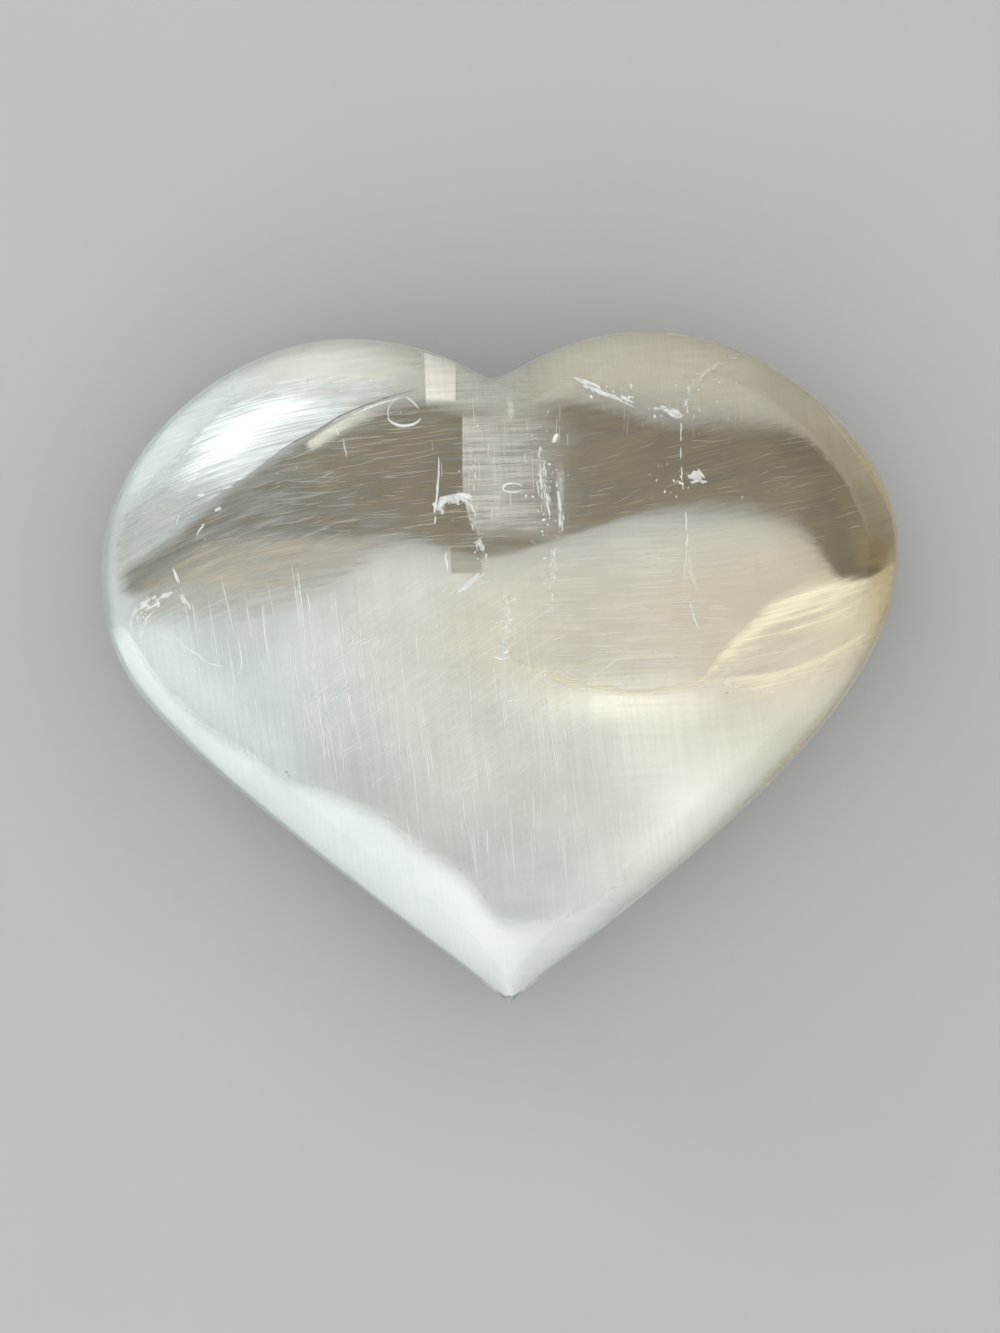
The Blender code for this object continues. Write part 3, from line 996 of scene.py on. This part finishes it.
# Soft pale smudges along the seams: name, width in millimetres, cover and run.
SMUDGES = (
    ("pane_smudge", 1.2, (0.3, 0.45, 0.3), ((0.9, 26.0), (1.0, 24.2), (0.8, 22.4))),
    ("middle_smudge", 1.4, (0.45, 0.3, 0.45, 0.3), ((3.5, 20.8), (4.0, 17.4), (4.5, 13.8))),
    ("side_smudge", 0.9, (0.3, 0.4, 0.3, 0.4), ((5.6, 20.0), (5.7, 16.0), (5.4, 12.2))),
    ("low_smudge", 0.9, (0.5, 0.3, 0.3), ((5.0, 12.0), (4.9, 9.0), (4.8, 5.8))),
    ("lobe_smudge", 1.1, (0.45, 0.3, 0.45, 0.35, 0.25), ((17.2, 24.4), (18.1, 26.3), (19.9, 28.1),
     (21.8, 29.0), (22.9, 29.2))),
    ("seam_smudge", 0.8, (0.2, 0.35, 0.2), ((17.5, 13.3), (17.7, 9.8), (18.9, 6.3))),
    ("centre_smudge", 1.3, (0.15, 0.28, 0.12), ((0.4, 8.6), (0.7, 4.3), (0.3, 1.0))),
)


def make_veils(stone, rows):
    """The veils of a table, with each finish made once."""
    finishes = {finish: veil_finish(finish) for finish in dict.fromkeys(row[1] for row in rows)}
    for name, finish, first, second, depths, level, more in rows:
        slot = VEIL_FINISHES[finish][0]
        veil(stone, name, finishes[finish], slot, first, second, depths, level, **more)


def make_smudges(stone):
    """A smudge reaches half its width to each side of its run."""
    rows = []
    for name, width, cover, run in SMUDGES:
        left, right = (np.array(run) + (side * width / 2, 0.0) for side in (-1, 1))
        more = dict(ends=(0.35, 0.35), sides=(0.5, 0.5), size=(50, 14))
        rows.append((name, "smudge", left, right, (SMUDGE_DEPTH, SMUDGE_DEPTH), cover, more))
    make_veils(stone, rows)


HAZE_DEPTH = 0.62
HAZE_REACH = 0.994

# The haze's levels over the front view. Each is its base, then its spots: name, middle, two
# radii and the amount that it adds.
HAZE_LEVELS = {
    # Its cover thins under the smoky band of painted shade; the upper left and left rim spots
    # thicken it as painted light, the right rim spot under the painted shade.
    "cover": (
        0.66,
        ("keel", 4.0, -14.0, 7.0, 9.0, -0.12),
        ("upper left", -32.0, 23.0, 6.0, 5.0, 0.20),
        ("left top", -14.0, 29.0, 8.0, 3.0, 0.20),
        ("left rim", -35.0, 0.0, 4.0, 6.0, 0.25),
        ("lower right", 16.0, -8.0, 8.0, 8.0, 0.16),
        ("under crest", 11.0, -3.4, 7.0, 1.8, 0.30),
        ("right rim", 34.0, 16.0, 6.0, 12.0, 0.25),
        ("smoky left", -12.0, 17.0, 14.0, 4.5, -0.35),
        ("smoky right", 18.0, 18.5, 13.0, 4.0, -0.35),
    ),
    "warmth": (
        0.45,
        ("left", -28.0, -4.0, 16.0, 14.0, -0.45),
        ("upper left", -32.0, 22.0, 9.0, 9.0, -0.45),
        ("middle", 0.0, 3.0, 13.0, 9.0, 0.40),
        ("right", 24.0, 4.0, 16.0, 12.0, 0.55),
        ("top", 10.0, 26.0, 22.0, 6.0, 0.30),
        ("point", 2.0, -26.0, 12.0, 9.0, -0.25),
    ),
    # Its glow lifts or lowers the tone: the left rim and upper left spots are painted light, the
    # others the haze's own tone.
    "glow": (
        0.45,
        ("patch", 12.0, 5.0, 8.0, 8.0, -0.30),
        ("keel", 4.0, -14.0, 7.0, 9.0, 0.02),
        ("left top", -14.0, 29.0, 8.0, 3.0, 0.45),
        ("lobe", 16.0, -12.0, 4.0, 7.0, 0.28),
        ("under crest", 12.0, -3.4, 6.5, 1.8, 0.35),
        ("left rim", -34.5, -3.0, 3.0, 5.0, 0.35),
        ("froth", -34.0, 6.0, 3.0, 2.4, -0.40),
        ("upper left", -32.0, 23.0, 6.0, 5.0, 0.40),
        ("left end", -36.5, 9.5, 4.0, 5.0, -0.70),
    ),
    # Its shade mixes in amber: the right lobe, right top and right edge spots are painted shade,
    # the right wedge and patch spots a warmer tone.
    "shade": (
        0.0,
        ("right lobe", 36.0, 15.0, 7.0, 11.0, 1.0),
        ("right top", 22.0, 31.0, 12.0, 4.0, 0.6),
        ("right edge", 37.5, 3.0, 2.5, 8.0, 0.7),
        ("right wedge", 24.0, 7.0, 7.0, 6.0, 0.20),
        ("patch", 16.0, 6.0, 6.0, 5.0, 0.12),
    ),
    "sanded": (
        0.15,
        ("patch", 12.0, 4.0, 9.0, 8.0, 0.85),
        ("top", 0.0, 22.0, 40.0, 10.0, 0.4),
    ),
    "slanted": (
        0.10,
        ("middle", -2.0, 0.0, 12.0, 11.0, 0.90),
        ("keel", 2.0, -16.0, 8.0, 6.0, 0.4),
    ),
    "fibrous": (
        0.30,
        ("lower left", -16.0, -6.0, 18.0, 12.0, 0.6),
        ("keel", 6.0, -10.0, 8.0, 12.0, 0.4),
    ),
}


def make_haze(stone):
    """The haze through the whole stone, thin where the keel and the smoky zone of painted shade
    are.
    """
    finish = haze_finish()
    body_sheet(stone, "body_haze", HAZE_DEPTH, HAZE_REACH, finish, HAZE_LEVELS)


RUN_STEPS = 400  # points read from a crack's run before its dashes are cut from it
DEPTH_JITTER = 0.015
CRACK_REACH = 0.985

# Cracks: name, run of the front view, depth, dashes, their lengths and radii in millimetres, and
# how far they stray from the run.
CRACKS = (
    ("left seam", ((-5.7, 20.8), (-5.7, 18.4), (-6.0, 15.6), (-6.3, 11.6)), 0.12, 9, (0.7, 2.4),
     (0.05, 0.10), 0.05),
    ("hook", ((-2.9, 14.8), (-1.9, 11.6), (-1.5, 9.1), (-1.6, 7.1)), 0.18, 16, (0.2, 0.8),
     (0.04, 0.11), 0.20),
    ("bright slip", ((-4.2, 6.7), (-2.2, 8.5), (-1.3, 9.2)), 0.16, 4, (1.0, 2.4), (0.07, 0.12),
     0.08),
    ("upper slip", ((6.8, 27.3), (9.5, 25.9), (12.6, 24.6)), 0.10, 26, (0.6, 2.0), (0.08, 0.17),
     0.12),
    ("corner slip", ((14.6, 24.5), (16.0, 24.0), (17.2, 23.2)), 0.10, 14, (0.5, 1.5), (0.08, 0.16),
     0.14),
    ("lobe veil", ((17.3, 23.8), (17.8, 25.6), (19.1, 26.8), (20.4, 28.7), (22.7, 29.5)), 0.10, 16,
     (0.2, 0.8), (0.03, 0.08), 0.28),
    ("right seam", ((17.1, 23.2), (17.1, 17.3), (17.6, 13.1), (17.5, 7.3), (19.1, 2.3)), 0.10, 20,
     (0.5, 2.2), (0.03, 0.06), 0.06),
    ("left tick", ((-30.8, 9.5), (-30.1, 7.6)), 0.10, 4, (0.6, 1.6), (0.08, 0.12), 0.05),
    ("left comb", ((-30.4, 7.0), (-29.0, 5.4)), 0.10, 4, (0.5, 1.2), (0.07, 0.11), 0.08),
    ("left arch", ((-30.8, 7.0), (-33.0, 6.0), (-34.2, 5.0), (-34.3, 3.5)), 0.10, 18, (0.4, 1.1),
     (0.08, 0.14), 0.10),
    ("mid seam", ((3.7, 20.8), (4.0, 17.4), (4.6, 13.9)), 0.10, 20, (0.3, 1.6), (0.03, 0.09),
     0.18),
    ("mid seam two", ((5.0, 18.6), (5.6, 15.6), (5.7, 12.4)), 0.10, 20, (0.3, 1.6), (0.03, 0.08),
     0.14),
    ("mid seam low", ((5.2, 11.5), (4.9, 8.0), (5.2, 4.8)), 0.10, 10, (0.3, 1.2), (0.03, 0.07),
     0.18),
    ("centre seam", ((0.4, 7.6), (0.7, 4.3), (0.3, 1.0)), 0.16, 9, (0.2, 0.8), (0.04, 0.09), 0.14),
    ("upper seam", ((-2.4, 20.2), (-2.3, 17.6), (-2.5, 15.2)), 0.12, 7, (0.2, 0.6), (0.03, 0.06),
     0.08),
)


HEAP_REACH = 0.93

# Heaps of flakes: name, middle, spread across and along, how many, their least and greatest
# spans in millimetres, and depth.
HEAPS = (
    ("white patch", -4.3, 15.7, 0.80, 0.22, 34, 0.40, 1.1, 0.14),
    ("white patch end", -5.6, 15.0, 0.35, 0.30, 12, 0.35, 0.8, 0.14),
    ("hook", -2.0, 11.5, 0.35, 2.2, 26, 0.12, 0.40, 0.18),
    ("right star", 18.4, 18.0, 0.30, 0.15, 9, 0.7, 1.3, 0.16),
    ("right star two", 16.9, 17.3, 0.2, 0.1, 5, 0.35, 0.7, 0.16),
    ("right star low", 18.8, 17.4, 0.3, 0.1, 5, 0.35, 0.6, 0.16),
    ("right seam haze", 15.6, 17.6, 1.2, 1.2, 20, 0.12, 0.35, 0.18),
    ("corner slip", 15.8, 24.0, 1.1, 0.35, 16, 0.20, 0.60, 0.10),
    ("upper slip", 9.6, 25.9, 1.6, 0.45, 18, 0.15, 0.50, 0.10),
    ("top star", 5.2, 21.4, 0.2, 0.3, 3, 0.3, 0.7, 0.14),
    ("lobe veil", 19.2, 26.9, 1.6, 1.4, 26, 0.12, 0.35, 0.10),
    ("left froth", -33.8, 4.4, 0.8, 1.2, 46, 0.22, 0.65, 0.10),
    ("mid seams", 4.6, 16.2, 1.0, 3.2, 50, 0.12, 0.45, 0.10),
    ("low seams", 5.0, 8.0, 0.8, 2.8, 18, 0.10, 0.28, 0.16),
    ("centre seam", 0.4, 4.2, 0.5, 2.2, 26, 0.14, 0.45, 0.12),
    ("left specks", -22.0, 17.5, 7.0, 3.0, 26, 0.10, 0.34, 0.20),
    ("right specks", 22.0, 19.0, 6.5, 3.5, 22, 0.08, 0.28, 0.25),
    ("top specks", -1.0, 22.5, 5.0, 2.6, 26, 0.08, 0.26, 0.15),
    ("lone dash", -4.5, -5.7, 0.25, 0.08, 3, 0.25, 0.45, 0.10),
    ("window star", -18.4, 26.8, 0.45, 0.20, 7, 0.25, 0.60, 0.08),
    ("window star two", -13.0, 27.2, 0.25, 0.12, 3, 0.20, 0.45, 0.08),
)

PIT_DEPTH = 0.04

# Tiny dark pits near the front: place and span in millimetres.
PITS = (
    (-20.1, -9.9, 0.40), (-19.9, -10.3, 0.35), (-18.3, -10.8, 0.22), (-4.1, -19.1, 0.35),
    (-3.7, -19.1, 0.35), (21.3, -2.5, 0.30), (24.9, -4.9, 0.22), (26.3, -6.0, 0.26),
    (25.6, -5.6, 0.18), (1.3, -3.4, 0.3),
)


def dashes(draw, anchors, count, length, jitter, steps=7):
    """Short pieces of the smooth run through the anchors: each starts at an even draw of place,
    follows the run for a drawn length, and strays by a normal draw."""
    run = smooth_run(anchors, RUN_STEPS)
    along = np.concatenate([[0], np.cumsum(np.linalg.norm(np.diff(run, axis=0), axis=1))])
    size = draw.uniform(length[0], length[1], count)
    start = draw.uniform(0, 1, count) * (along[-1] - size)
    where = start[:, None] + size[:, None] * np.linspace(0, 1, steps)
    path = np.stack([np.interp(where, along, run[:, axis]) for axis in (0, 1)], axis=2)
    stray = draw.normal(0, jitter, (count, 1, 2)) + draw.normal(0, jitter * 0.3, (count, steps, 2))
    return path + stray


def make_cracks(stone):
    """Dashes of white along each crack, and flakes about the brightest places."""
    draw = np.random.default_rng(11)
    white = flaw_finish("white_flaw", colours().fleck)
    paths, depths, radii = [], [], []
    for _, anchors, depth, count, length, radius, jitter in CRACKS:
        paths.append(dashes(draw, anchors, count, length, jitter))
        depths.append(depth + draw.normal(0, DEPTH_JITTER, count))
        radii.append(draw.uniform(radius[0], radius[1], count))
    paths = np.concatenate(paths)
    paths = np.stack(stone.keep_in(paths[..., 0], paths[..., 1], CRACK_REACH), axis=2)
    spindles(stone, "crack_dashes", paths, np.concatenate(depths), np.concatenate(radii), white)
    places, depths, spans = [], [], []
    for _, x, y, wide, high, count, least, most, depth in HEAPS:
        place = np.stack([draw.normal(x, wide, count), draw.normal(y, high, count)], axis=1)
        place = inside(stone, place[:, None], HEAP_REACH)[:, 0]
        places.append(place)
        depths.append(depth + draw.normal(0, DEPTH_JITTER, len(place)))
        spans.append(draw.uniform(least, most, len(place)))
    parts = (np.concatenate(part) for part in (places, depths, spans))
    flakes(stone, "crack_flakes", *parts, draw, white)
    pits = np.array(PITS)
    depths = np.full(len(pits), PIT_DEPTH)
    flakes(stone, "dark_pits", pits[:, :2], depths, pits[:, 2], draw, pit_finish(), "smoke")


def arc(x, y, wide, high, start, end, steps=40):
    """Points of an ellipse's arc, from one angle in degrees to another."""
    angle = np.radians(np.linspace(start, end, steps))
    return np.stack([x + wide * np.cos(angle), y + high * np.sin(angle)], axis=1)


SLIP_STEPS = 12
SLIP_JITTER = 0.05

# Thick bright slips: the run of each, its depth and its thickness in millimetres.
SLIPS = (
    (((-6.0, 14.7), (-5.5, 15.4), (-4.9, 15.8), (-4.3, 15.6)), 0.14, 0.30),
    (((-4.9, 15.8), (-4.0, 16.1), (-3.1, 16.1), (-2.7, 15.4)), 0.14, 0.20),
    (((-2.8, 15.6), (-2.6, 14.9), (-2.3, 14.1)), 0.15, 0.09),
    (((17.7, 17.8), (18.3, 18.0), (19.0, 18.3)), 0.16, 0.26),
    (((17.9, 17.3), (18.5, 17.5), (19.0, 17.7)), 0.16, 0.12),
    (((4.9, 21.0), (5.2, 21.5), (5.5, 21.9)), 0.14, 0.20),
    (((-4.1, 6.8), (-3.0, 7.7), (-2.2, 8.6)), 0.16, 0.14),
    (((-3.4, 7.0), (-2.6, 7.9), (-1.5, 8.9)), 0.16, 0.09),
    (((-5.1, 10.9), (-5.0, 9.8), (-4.9, 8.7)), 0.16, 0.08),
    (((-30.0, 6.8), (-29.5, 6.1), (-29.0, 5.3)), 0.12, 0.11),
    (((-30.8, 7.0), (-31.3, 6.8), (-31.9, 6.4)), 0.12, 0.13),
    (((-32.0, 6.3), (-32.4, 5.8), (-33.5, 5.2)), 0.12, 0.10),
    (((-32.5, 5.2), (-33.2, 4.5), (-33.5, 3.7)), 0.12, 0.10),
    (((-33.4, 3.8), (-33.7, 3.0), (-33.8, 2.0)), 0.12, 0.09),
    (((-34.4, 5.2), (-34.7, 4.2), (-34.4, 3.1)), 0.12, 0.08),
    (((-27.8, 13.5), (-28.1, 13.0), (-28.5, 12.3)), 0.10, 0.08),
    (((-26.9, 14.7), (-26.5, 14.8), (-26.2, 15.0)), 0.10, 0.11),
    (((-28.4, 16.1), (-28.1, 16.1), (-27.8, 16.2)), 0.10, 0.10),
    (((-26.2, 16.7), (-25.7, 16.8), (-25.2, 16.9)), 0.10, 0.08),
    (((-30.2, 14.4), (-30.3, 13.9), (-30.4, 13.4)), 0.10, 0.07),
    (((-15.6, 22.7), (-15.3, 22.2), (-15.2, 21.7)), 0.09, 0.06),
    (((-14.7, 21.5), (-14.6, 20.6), (-14.4, 19.6)), 0.12, 0.045),
    (((0.9, -30.0), (0.9, -30.5), (0.9, -31.0)), 0.45, 0.26),
)


def make_slips(stone):
    """The thickest and brightest bits of the cracks, each jagged by a normal draw."""
    draw = np.random.default_rng(23)
    paths = np.array([smooth_run(run, SLIP_STEPS) for run, _, _ in SLIPS])
    paths = paths + draw.normal(0, SLIP_JITTER, paths.shape)
    depths, radii = np.array([slip[1:] for slip in SLIPS]).T
    slip = flaw_finish("slip_flaw", colours().fleck)
    spindles(stone, "bright_slips", paths, depths, radii, slip, corners=6)


# Rims of flattened bubbles: the arc's middle, its two radii and its first and last angle, then
# its depth and its thickness in millimetres.
RINGS = (
    ((-9.1, 23.9, 1.45, 1.35, 105, 205), 0.10, 0.05),
    ((-9.0, 23.75, 1.65, 1.10, 195, 342), 0.10, 0.13),
    ((1.2, 16.8, 0.95, 0.42, 20, 330), 0.12, 0.06),
    ((1.0, 16.9, 0.60, 0.30, 60, 200), 0.12, 0.09),
    ((0.2, 1.1, 0.80, 0.40, 200, 340), 0.12, 0.09),
    ((1.4, -3.5, 0.80, 0.35, 30, 160), 0.10, 0.04),
)


def make_bubbles(stone):
    """Flattened bubbles, whose rims show as bright rings."""
    rings = np.array([arc(*numbers) for numbers, _, _ in RINGS])
    depths, radii = np.array([ring[1:] for ring in RINGS]).T
    ring = flaw_finish("ring_flaw", colours().fleck)
    spindles(stone, "bubble_rings", rings, depths, radii, ring, corners=6)


THREAD_LAYER = 0.03  # how much deeper the deepest of a kind lie

# Threads: name, middle, radii, how many, lengths, heading and its spread in degrees, radii of
# the threads, depth, bow.
THREADS = (
    ("left fibres", (-20.0, -1.0), (13.0, 8.0), 80, (2.0, 9.0), -81, 2, (0.015, 0.045), 0.05,
     0.02),
    ("middle fibres", (-6.0, -8.0), (14.0, 12.0), 70, (2.0, 9.0), -84, 2, (0.012, 0.035), 0.05,
     0.02),
    ("keel fibres", (5.0, -12.0), (9.0, 12.0), 50, (1.5, 6.0), -88, 2, (0.010, 0.030), 0.05, 0.0),
    ("slant lines", (-3.0, -2.0), (15.0, 10.0), 260, (0.8, 4.0), 35, 5, (0.008, 0.018), 0.01, 0.0),
    ("patch sanding", (12.0, 4.0), (9.0, 7.0), 120, (0.8, 5.0), 2, 2, (0.008, 0.022), 0.01, 0.0),
    ("top fibres", (0.0, 20.0), (8.0, 6.0), 26, (0.8, 4.0), 91, 2, (0.008, 0.022), 0.02, 0.0),
)
DIM_THREADS = (
    ("left sanding", (-24.0, 15.0), (10.0, 6.0), 150, (0.8, 3.5), 18, 5, (0.008, 0.022), 0.01,
     -0.05),
    ("middle sanding", (-10.0, 17.0), (12.0, 7.0), 200, (1.0, 5.0), 6, 3, (0.008, 0.022), 0.01,
     -0.03),
    ("pane sanding", (1.0, 19.0), (5.0, 7.0), 50, (0.8, 3.0), 2, 2, (0.008, 0.022), 0.01, 0.0),
    ("right sanding", (20.0, 15.0), (14.0, 8.0), 120, (0.6, 3.0), 13, 6, (0.006, 0.018), 0.01,
     0.0),
    ("lobe grain", (16.0, 26.0), (9.0, 4.0), 70, (0.6, 2.4), 88, 4, (0.006, 0.016), 0.02, 0.0),
)

SCRATCH_DEPTH = 0.03
SCRATCH_STEPS = 24

# Long scratches: the radius of each in millimetres, and its run.
SCRATCHES = (
    (0.100, ((-30.8, 3.1), (-29.5, 1.8), (-28.4, 1.1), (-27.4, 0.3), (-25.9, 0.0))),
    (0.060, ((-28.9, 5.8), (-28.6, 3.8), (-28.3, 1.6))),
    (0.065, ((-30.1, -1.1), (-29.2, -0.5), (-28.3, -0.2))),
    (0.065, ((-24.6, 2.8), (-24.3, 0.2), (-24.8, -1.0))),
    (0.060, ((-22.4, 6.0), (-22.1, 3.0), (-21.7, 0.4))),
    (0.045, ((-15.6, 7.4), (-15.0, 2.4), (-14.2, -3.0))),
    (0.110, ((-14.4, 23.4), (-11.6, 24.6), (-8.9, 25.4))),
    (0.085, ((-8.9, 25.4), (-8.2, 24.9), (-7.6, 24.2))),
    (0.045, ((-23.6, 25.8), (-21.0, 26.8), (-18.6, 27.2))),
)

EDGE_SHADE_RADIUS = 0.09
EDGE_SHADE_STEPS = 40

# A painted dark line of shade along the lower edge of the window's painted reflection.
WINDOW_EDGE_SHADE = (
    (-22.5, 18.9), (-19.7, 20.9), (-17.2, 22.2), (-14.7, 23.7), (-10.9, 25.2), (-7.7, 26.1),
)


def make_threads(stone):
    """Fibres and sanding lines: over a thousand fine pale threads just under the front face, the
    long scratches, and a painted dark line of shade under the window's painted reflection."""
    draw = np.random.default_rng(5)
    thread = flaw_finish("thread_flaw", times(colours().fleck, 0.98))
    dim = flaw_finish("dim_flaw", times(colours().pane, 0.85))
    scratch = flaw_finish("scratch_flaw", colours().fleck)
    kinds = (("fine_threads", THREADS, thread), ("dim_threads", DIM_THREADS, dim))
    for name, table, material in kinds:
        paths, depths, radii = [], [], []
        for _, middle, spread, count, length, turn, stray, radius, depth, bow in table:
            found = scatter_paths(draw, middle, spread, count, length, turn, stray, bow)
            found = inside(stone, found)
            paths.append(found)
            depths.append(depth + draw.uniform(0, THREAD_LAYER, len(found)))
            radii.append(draw.uniform(radius[0], radius[1], len(found)))
        parts = (np.concatenate(part) for part in (paths, depths, radii))
        spindles(stone, name, *parts, material)
    # A painted line of shade along the window reflection's lower edge, in the pits' dark finish.
    seam = smooth_run(WINDOW_EDGE_SHADE, EDGE_SHADE_STEPS)[None]
    depth = np.array([SCRATCH_DEPTH])
    spindles(stone, "window_seam", seam, depth, np.array([EDGE_SHADE_RADIUS]), pit_finish(), "smoke")
    paths = np.array([smooth_run(run, SCRATCH_STEPS) for _, run in SCRATCHES])
    radii = np.array([radius for radius, _ in SCRATCHES])
    spindles(stone, "long_scratches", paths, np.full(len(paths), SCRATCH_DEPTH), radii, scratch)


# --- The stage ---


FLOOR_SIZE = 3
FLOOR_GAP = 0.0001  # how far the floor lies under the stone


def make_floor():
    bpy.ops.mesh.primitive_plane_add(size=FLOOR_SIZE, location=(0, 0, -FLOOR_GAP))
    floor = bpy.context.object
    floor.name = "floor"
    floor.data.materials.append(floor_finish())


SOFTBOX_PEAK = 2.6  # how bright a softbox is in its middle, for an even light of the same power
SKY_GREY = (0.985, 0.985, 0.985, 1)
SKY_LOW = 1.00  # strength at the horizon
SKY_HIGH = 2.35  # strength overhead

# Softboxes: name, place, width and depth in metres, power in watts, tint, and whether the polish
# mirrors it.
LIGHTS = (
    ("key", (-0.70, 0.84, 0.46), 1.15, 0.70, 6.2, (0.96, 0.99, 1.0), True),
    ("fill", (-0.70, -0.48, 0.32), 0.80, 0.50, 2.0, (0.95, 0.98, 1.0), False),
)


def area_light(name, place, width, depth, power, tint, mirrored):
    """A softbox, whose glow falls off smoothly from its middle to its edges. One that is not
    mirrored lights the stone but does not show in its polish."""
    light = bpy.data.lights.new(name, "AREA")
    light.use_nodes = True
    tree = light.node_tree
    spot = tree.nodes.new("ShaderNodeNewGeometry").outputs["Parametric"]
    gap = tree.nodes.new("ShaderNodeVectorMath")
    gap.operation = "DISTANCE"
    gap.inputs[1].default_value = (0.5, 0.5, 0)
    fall = tree.nodes.new("ShaderNodeMapRange")
    fall.interpolation_type = "SMOOTHERSTEP"
    ramp = {"From Min": 0.10, "From Max": 0.50, "To Min": SOFTBOX_PEAK, "To Max": 0.0}
    for key, value in ramp.items():
        fall.inputs[key].default_value = value
    tree.links.new(spot, gap.inputs[0])
    tree.links.new(gap.outputs["Value"], fall.inputs["Value"])
    tree.links.new(fall.outputs[0], tree.nodes["Emission"].inputs["Strength"])
    light.shape = "RECTANGLE"
    light.size, light.size_y = width, depth
    light.energy = power
    light.color = tint
    lamp = bpy.data.objects.new(name, light)
    lamp.location = place
    lamp.visible_glossy = mirrored
    lamp.rotation_euler = (-Vector(place)).to_track_quat("-Z", "Y").to_euler()
    bpy.context.scene.collection.objects.link(lamp)


def make_lights():
    world = bpy.data.worlds.new("soft_sky")
    world.use_nodes = True
    tree = world.node_tree
    sky = tree.nodes["Background"]
    sky.inputs["Color"].default_value = SKY_GREY
    way = tree.nodes.new("ShaderNodeTexCoord").outputs["Generated"]
    split = tree.nodes.new("ShaderNodeSeparateXYZ")
    rise = tree.nodes.new("ShaderNodeMapRange")
    rise.inputs["To Min"].default_value = SKY_LOW
    rise.inputs["To Max"].default_value = SKY_HIGH
    tree.links.new(way, split.inputs[0])
    tree.links.new(split.outputs["Z"], rise.inputs["Value"])
    tree.links.new(rise.outputs[0], sky.inputs["Strength"])
    bpy.context.scene.world = world
    bpy.context.scene.view_settings.view_transform = "Standard"
    for light in LIGHTS:
        area_light(*light)


def make_camera():
    """A camera straight above the stone whose frame takes in frame_height at the girdle."""
    data = bpy.data.cameras.new("camera")
    data.lens = data.sensor_width * sizes().eye_height / sizes().frame_height
    data.clip_start = 0.01
    camera = bpy.data.objects.new("camera", data)
    camera.location = (0, 0, sizes().girdle + sizes().eye_height)
    bpy.context.scene.collection.objects.link(camera)
    bpy.context.scene.camera = camera


# --- What Blender shows ---


class CRYSTALHEART_OT_stone(bpy.types.Operator):
    """Make the stone's polished surface"""

    bl_idname = "crystal_heart.stone"
    bl_label = "Polished stone"

    def execute(self, context):
        make_surface()
        return {"FINISHED"}


class CRYSTALHEART_OT_dark_veils(bpy.types.Operator):
    """Make the dark and tan veils: the smoky band of painted shade, its edges and the painted
    brown edge
    """

    bl_idname = "crystal_heart.smoke"
    # The smoky zone is painted shade.
    bl_label = "Smoky zone"

    def execute(self, context):
        make_veils(Stone(), DARK_VEILS)
        return {"FINISHED"}


class CRYSTALHEART_OT_veils(bpy.types.Operator):
    """Make the pale and milky veils"""

    bl_idname = "crystal_heart.veils"
    bl_label = "Milky veils"

    def execute(self, context):
        stone = Stone()
        make_haze(stone)
        make_veils(stone, PALE_VEILS)
        make_smudges(stone)
        make_veils(stone, MILK_VEILS)
        return {"FINISHED"}


class CRYSTALHEART_OT_flaws(bpy.types.Operator):
    """Make the cracks, flakes, pits and bubbles"""

    bl_idname = "crystal_heart.flaws"
    bl_label = "Cracks and bubbles"

    def execute(self, context):
        stone = Stone()
        make_cracks(stone)
        make_slips(stone)
        make_bubbles(stone)
        return {"FINISHED"}


class CRYSTALHEART_OT_threads(bpy.types.Operator):
    """Make the fibres and sanding lines"""

    bl_idname = "crystal_heart.threads"
    bl_label = "Fibres and lines"

    def execute(self, context):
        make_threads(Stone())
        return {"FINISHED"}


class CRYSTALHEART_OT_stage(bpy.types.Operator):
    """Make the floor, the lights and the camera"""

    bl_idname = "crystal_heart.stage"
    bl_label = "Stage"

    def execute(self, context):
        make_floor()
        make_lights()
        make_camera()
        return {"FINISHED"}


OPERATORS = (
    CRYSTALHEART_OT_stone,
    CRYSTALHEART_OT_dark_veils,
    CRYSTALHEART_OT_veils,
    CRYSTALHEART_OT_flaws,
    CRYSTALHEART_OT_threads,
    CRYSTALHEART_OT_stage,
)


class CRYSTALHEART_PT_panel(bpy.types.Panel):
    """The heart's pieces and what can be changed about them"""

    bl_idname = "CRYSTALHEART_PT_panel"
    bl_label = "Crystal heart"
    bl_space_type = "VIEW_3D"
    bl_region_type = "UI"
    bl_category = "Crystal heart"

    def draw(self, context):
        for operator in OPERATORS:
            self.layout.operator(operator.bl_idname)
        for group in (sizes(), colours()):
            for name in group.__annotations__:
                self.layout.prop(group, name)


CLASSES = (CrystalHeartSizes, CrystalHeartColours, *OPERATORS, CRYSTALHEART_PT_panel)


def register():
    for cls in CLASSES:
        bpy.utils.register_class(cls)
    bpy.types.Scene.crystal_heart_sizes = bpy.props.PointerProperty(type=CrystalHeartSizes)
    bpy.types.Scene.crystal_heart_colours = bpy.props.PointerProperty(type=CrystalHeartColours)


def unregister():
    del bpy.types.Scene.crystal_heart_colours
    del bpy.types.Scene.crystal_heart_sizes
    for cls in reversed(CLASSES):
        bpy.utils.unregister_class(cls)


def main():
    register()
    bpy.ops.crystal_heart.stone()
    # The smoky zone, painted shade.
    bpy.ops.crystal_heart.smoke()
    bpy.ops.crystal_heart.veils()
    bpy.ops.crystal_heart.flaws()
    bpy.ops.crystal_heart.threads()
    bpy.ops.crystal_heart.stage()


if __name__ == "__main__":
    main()
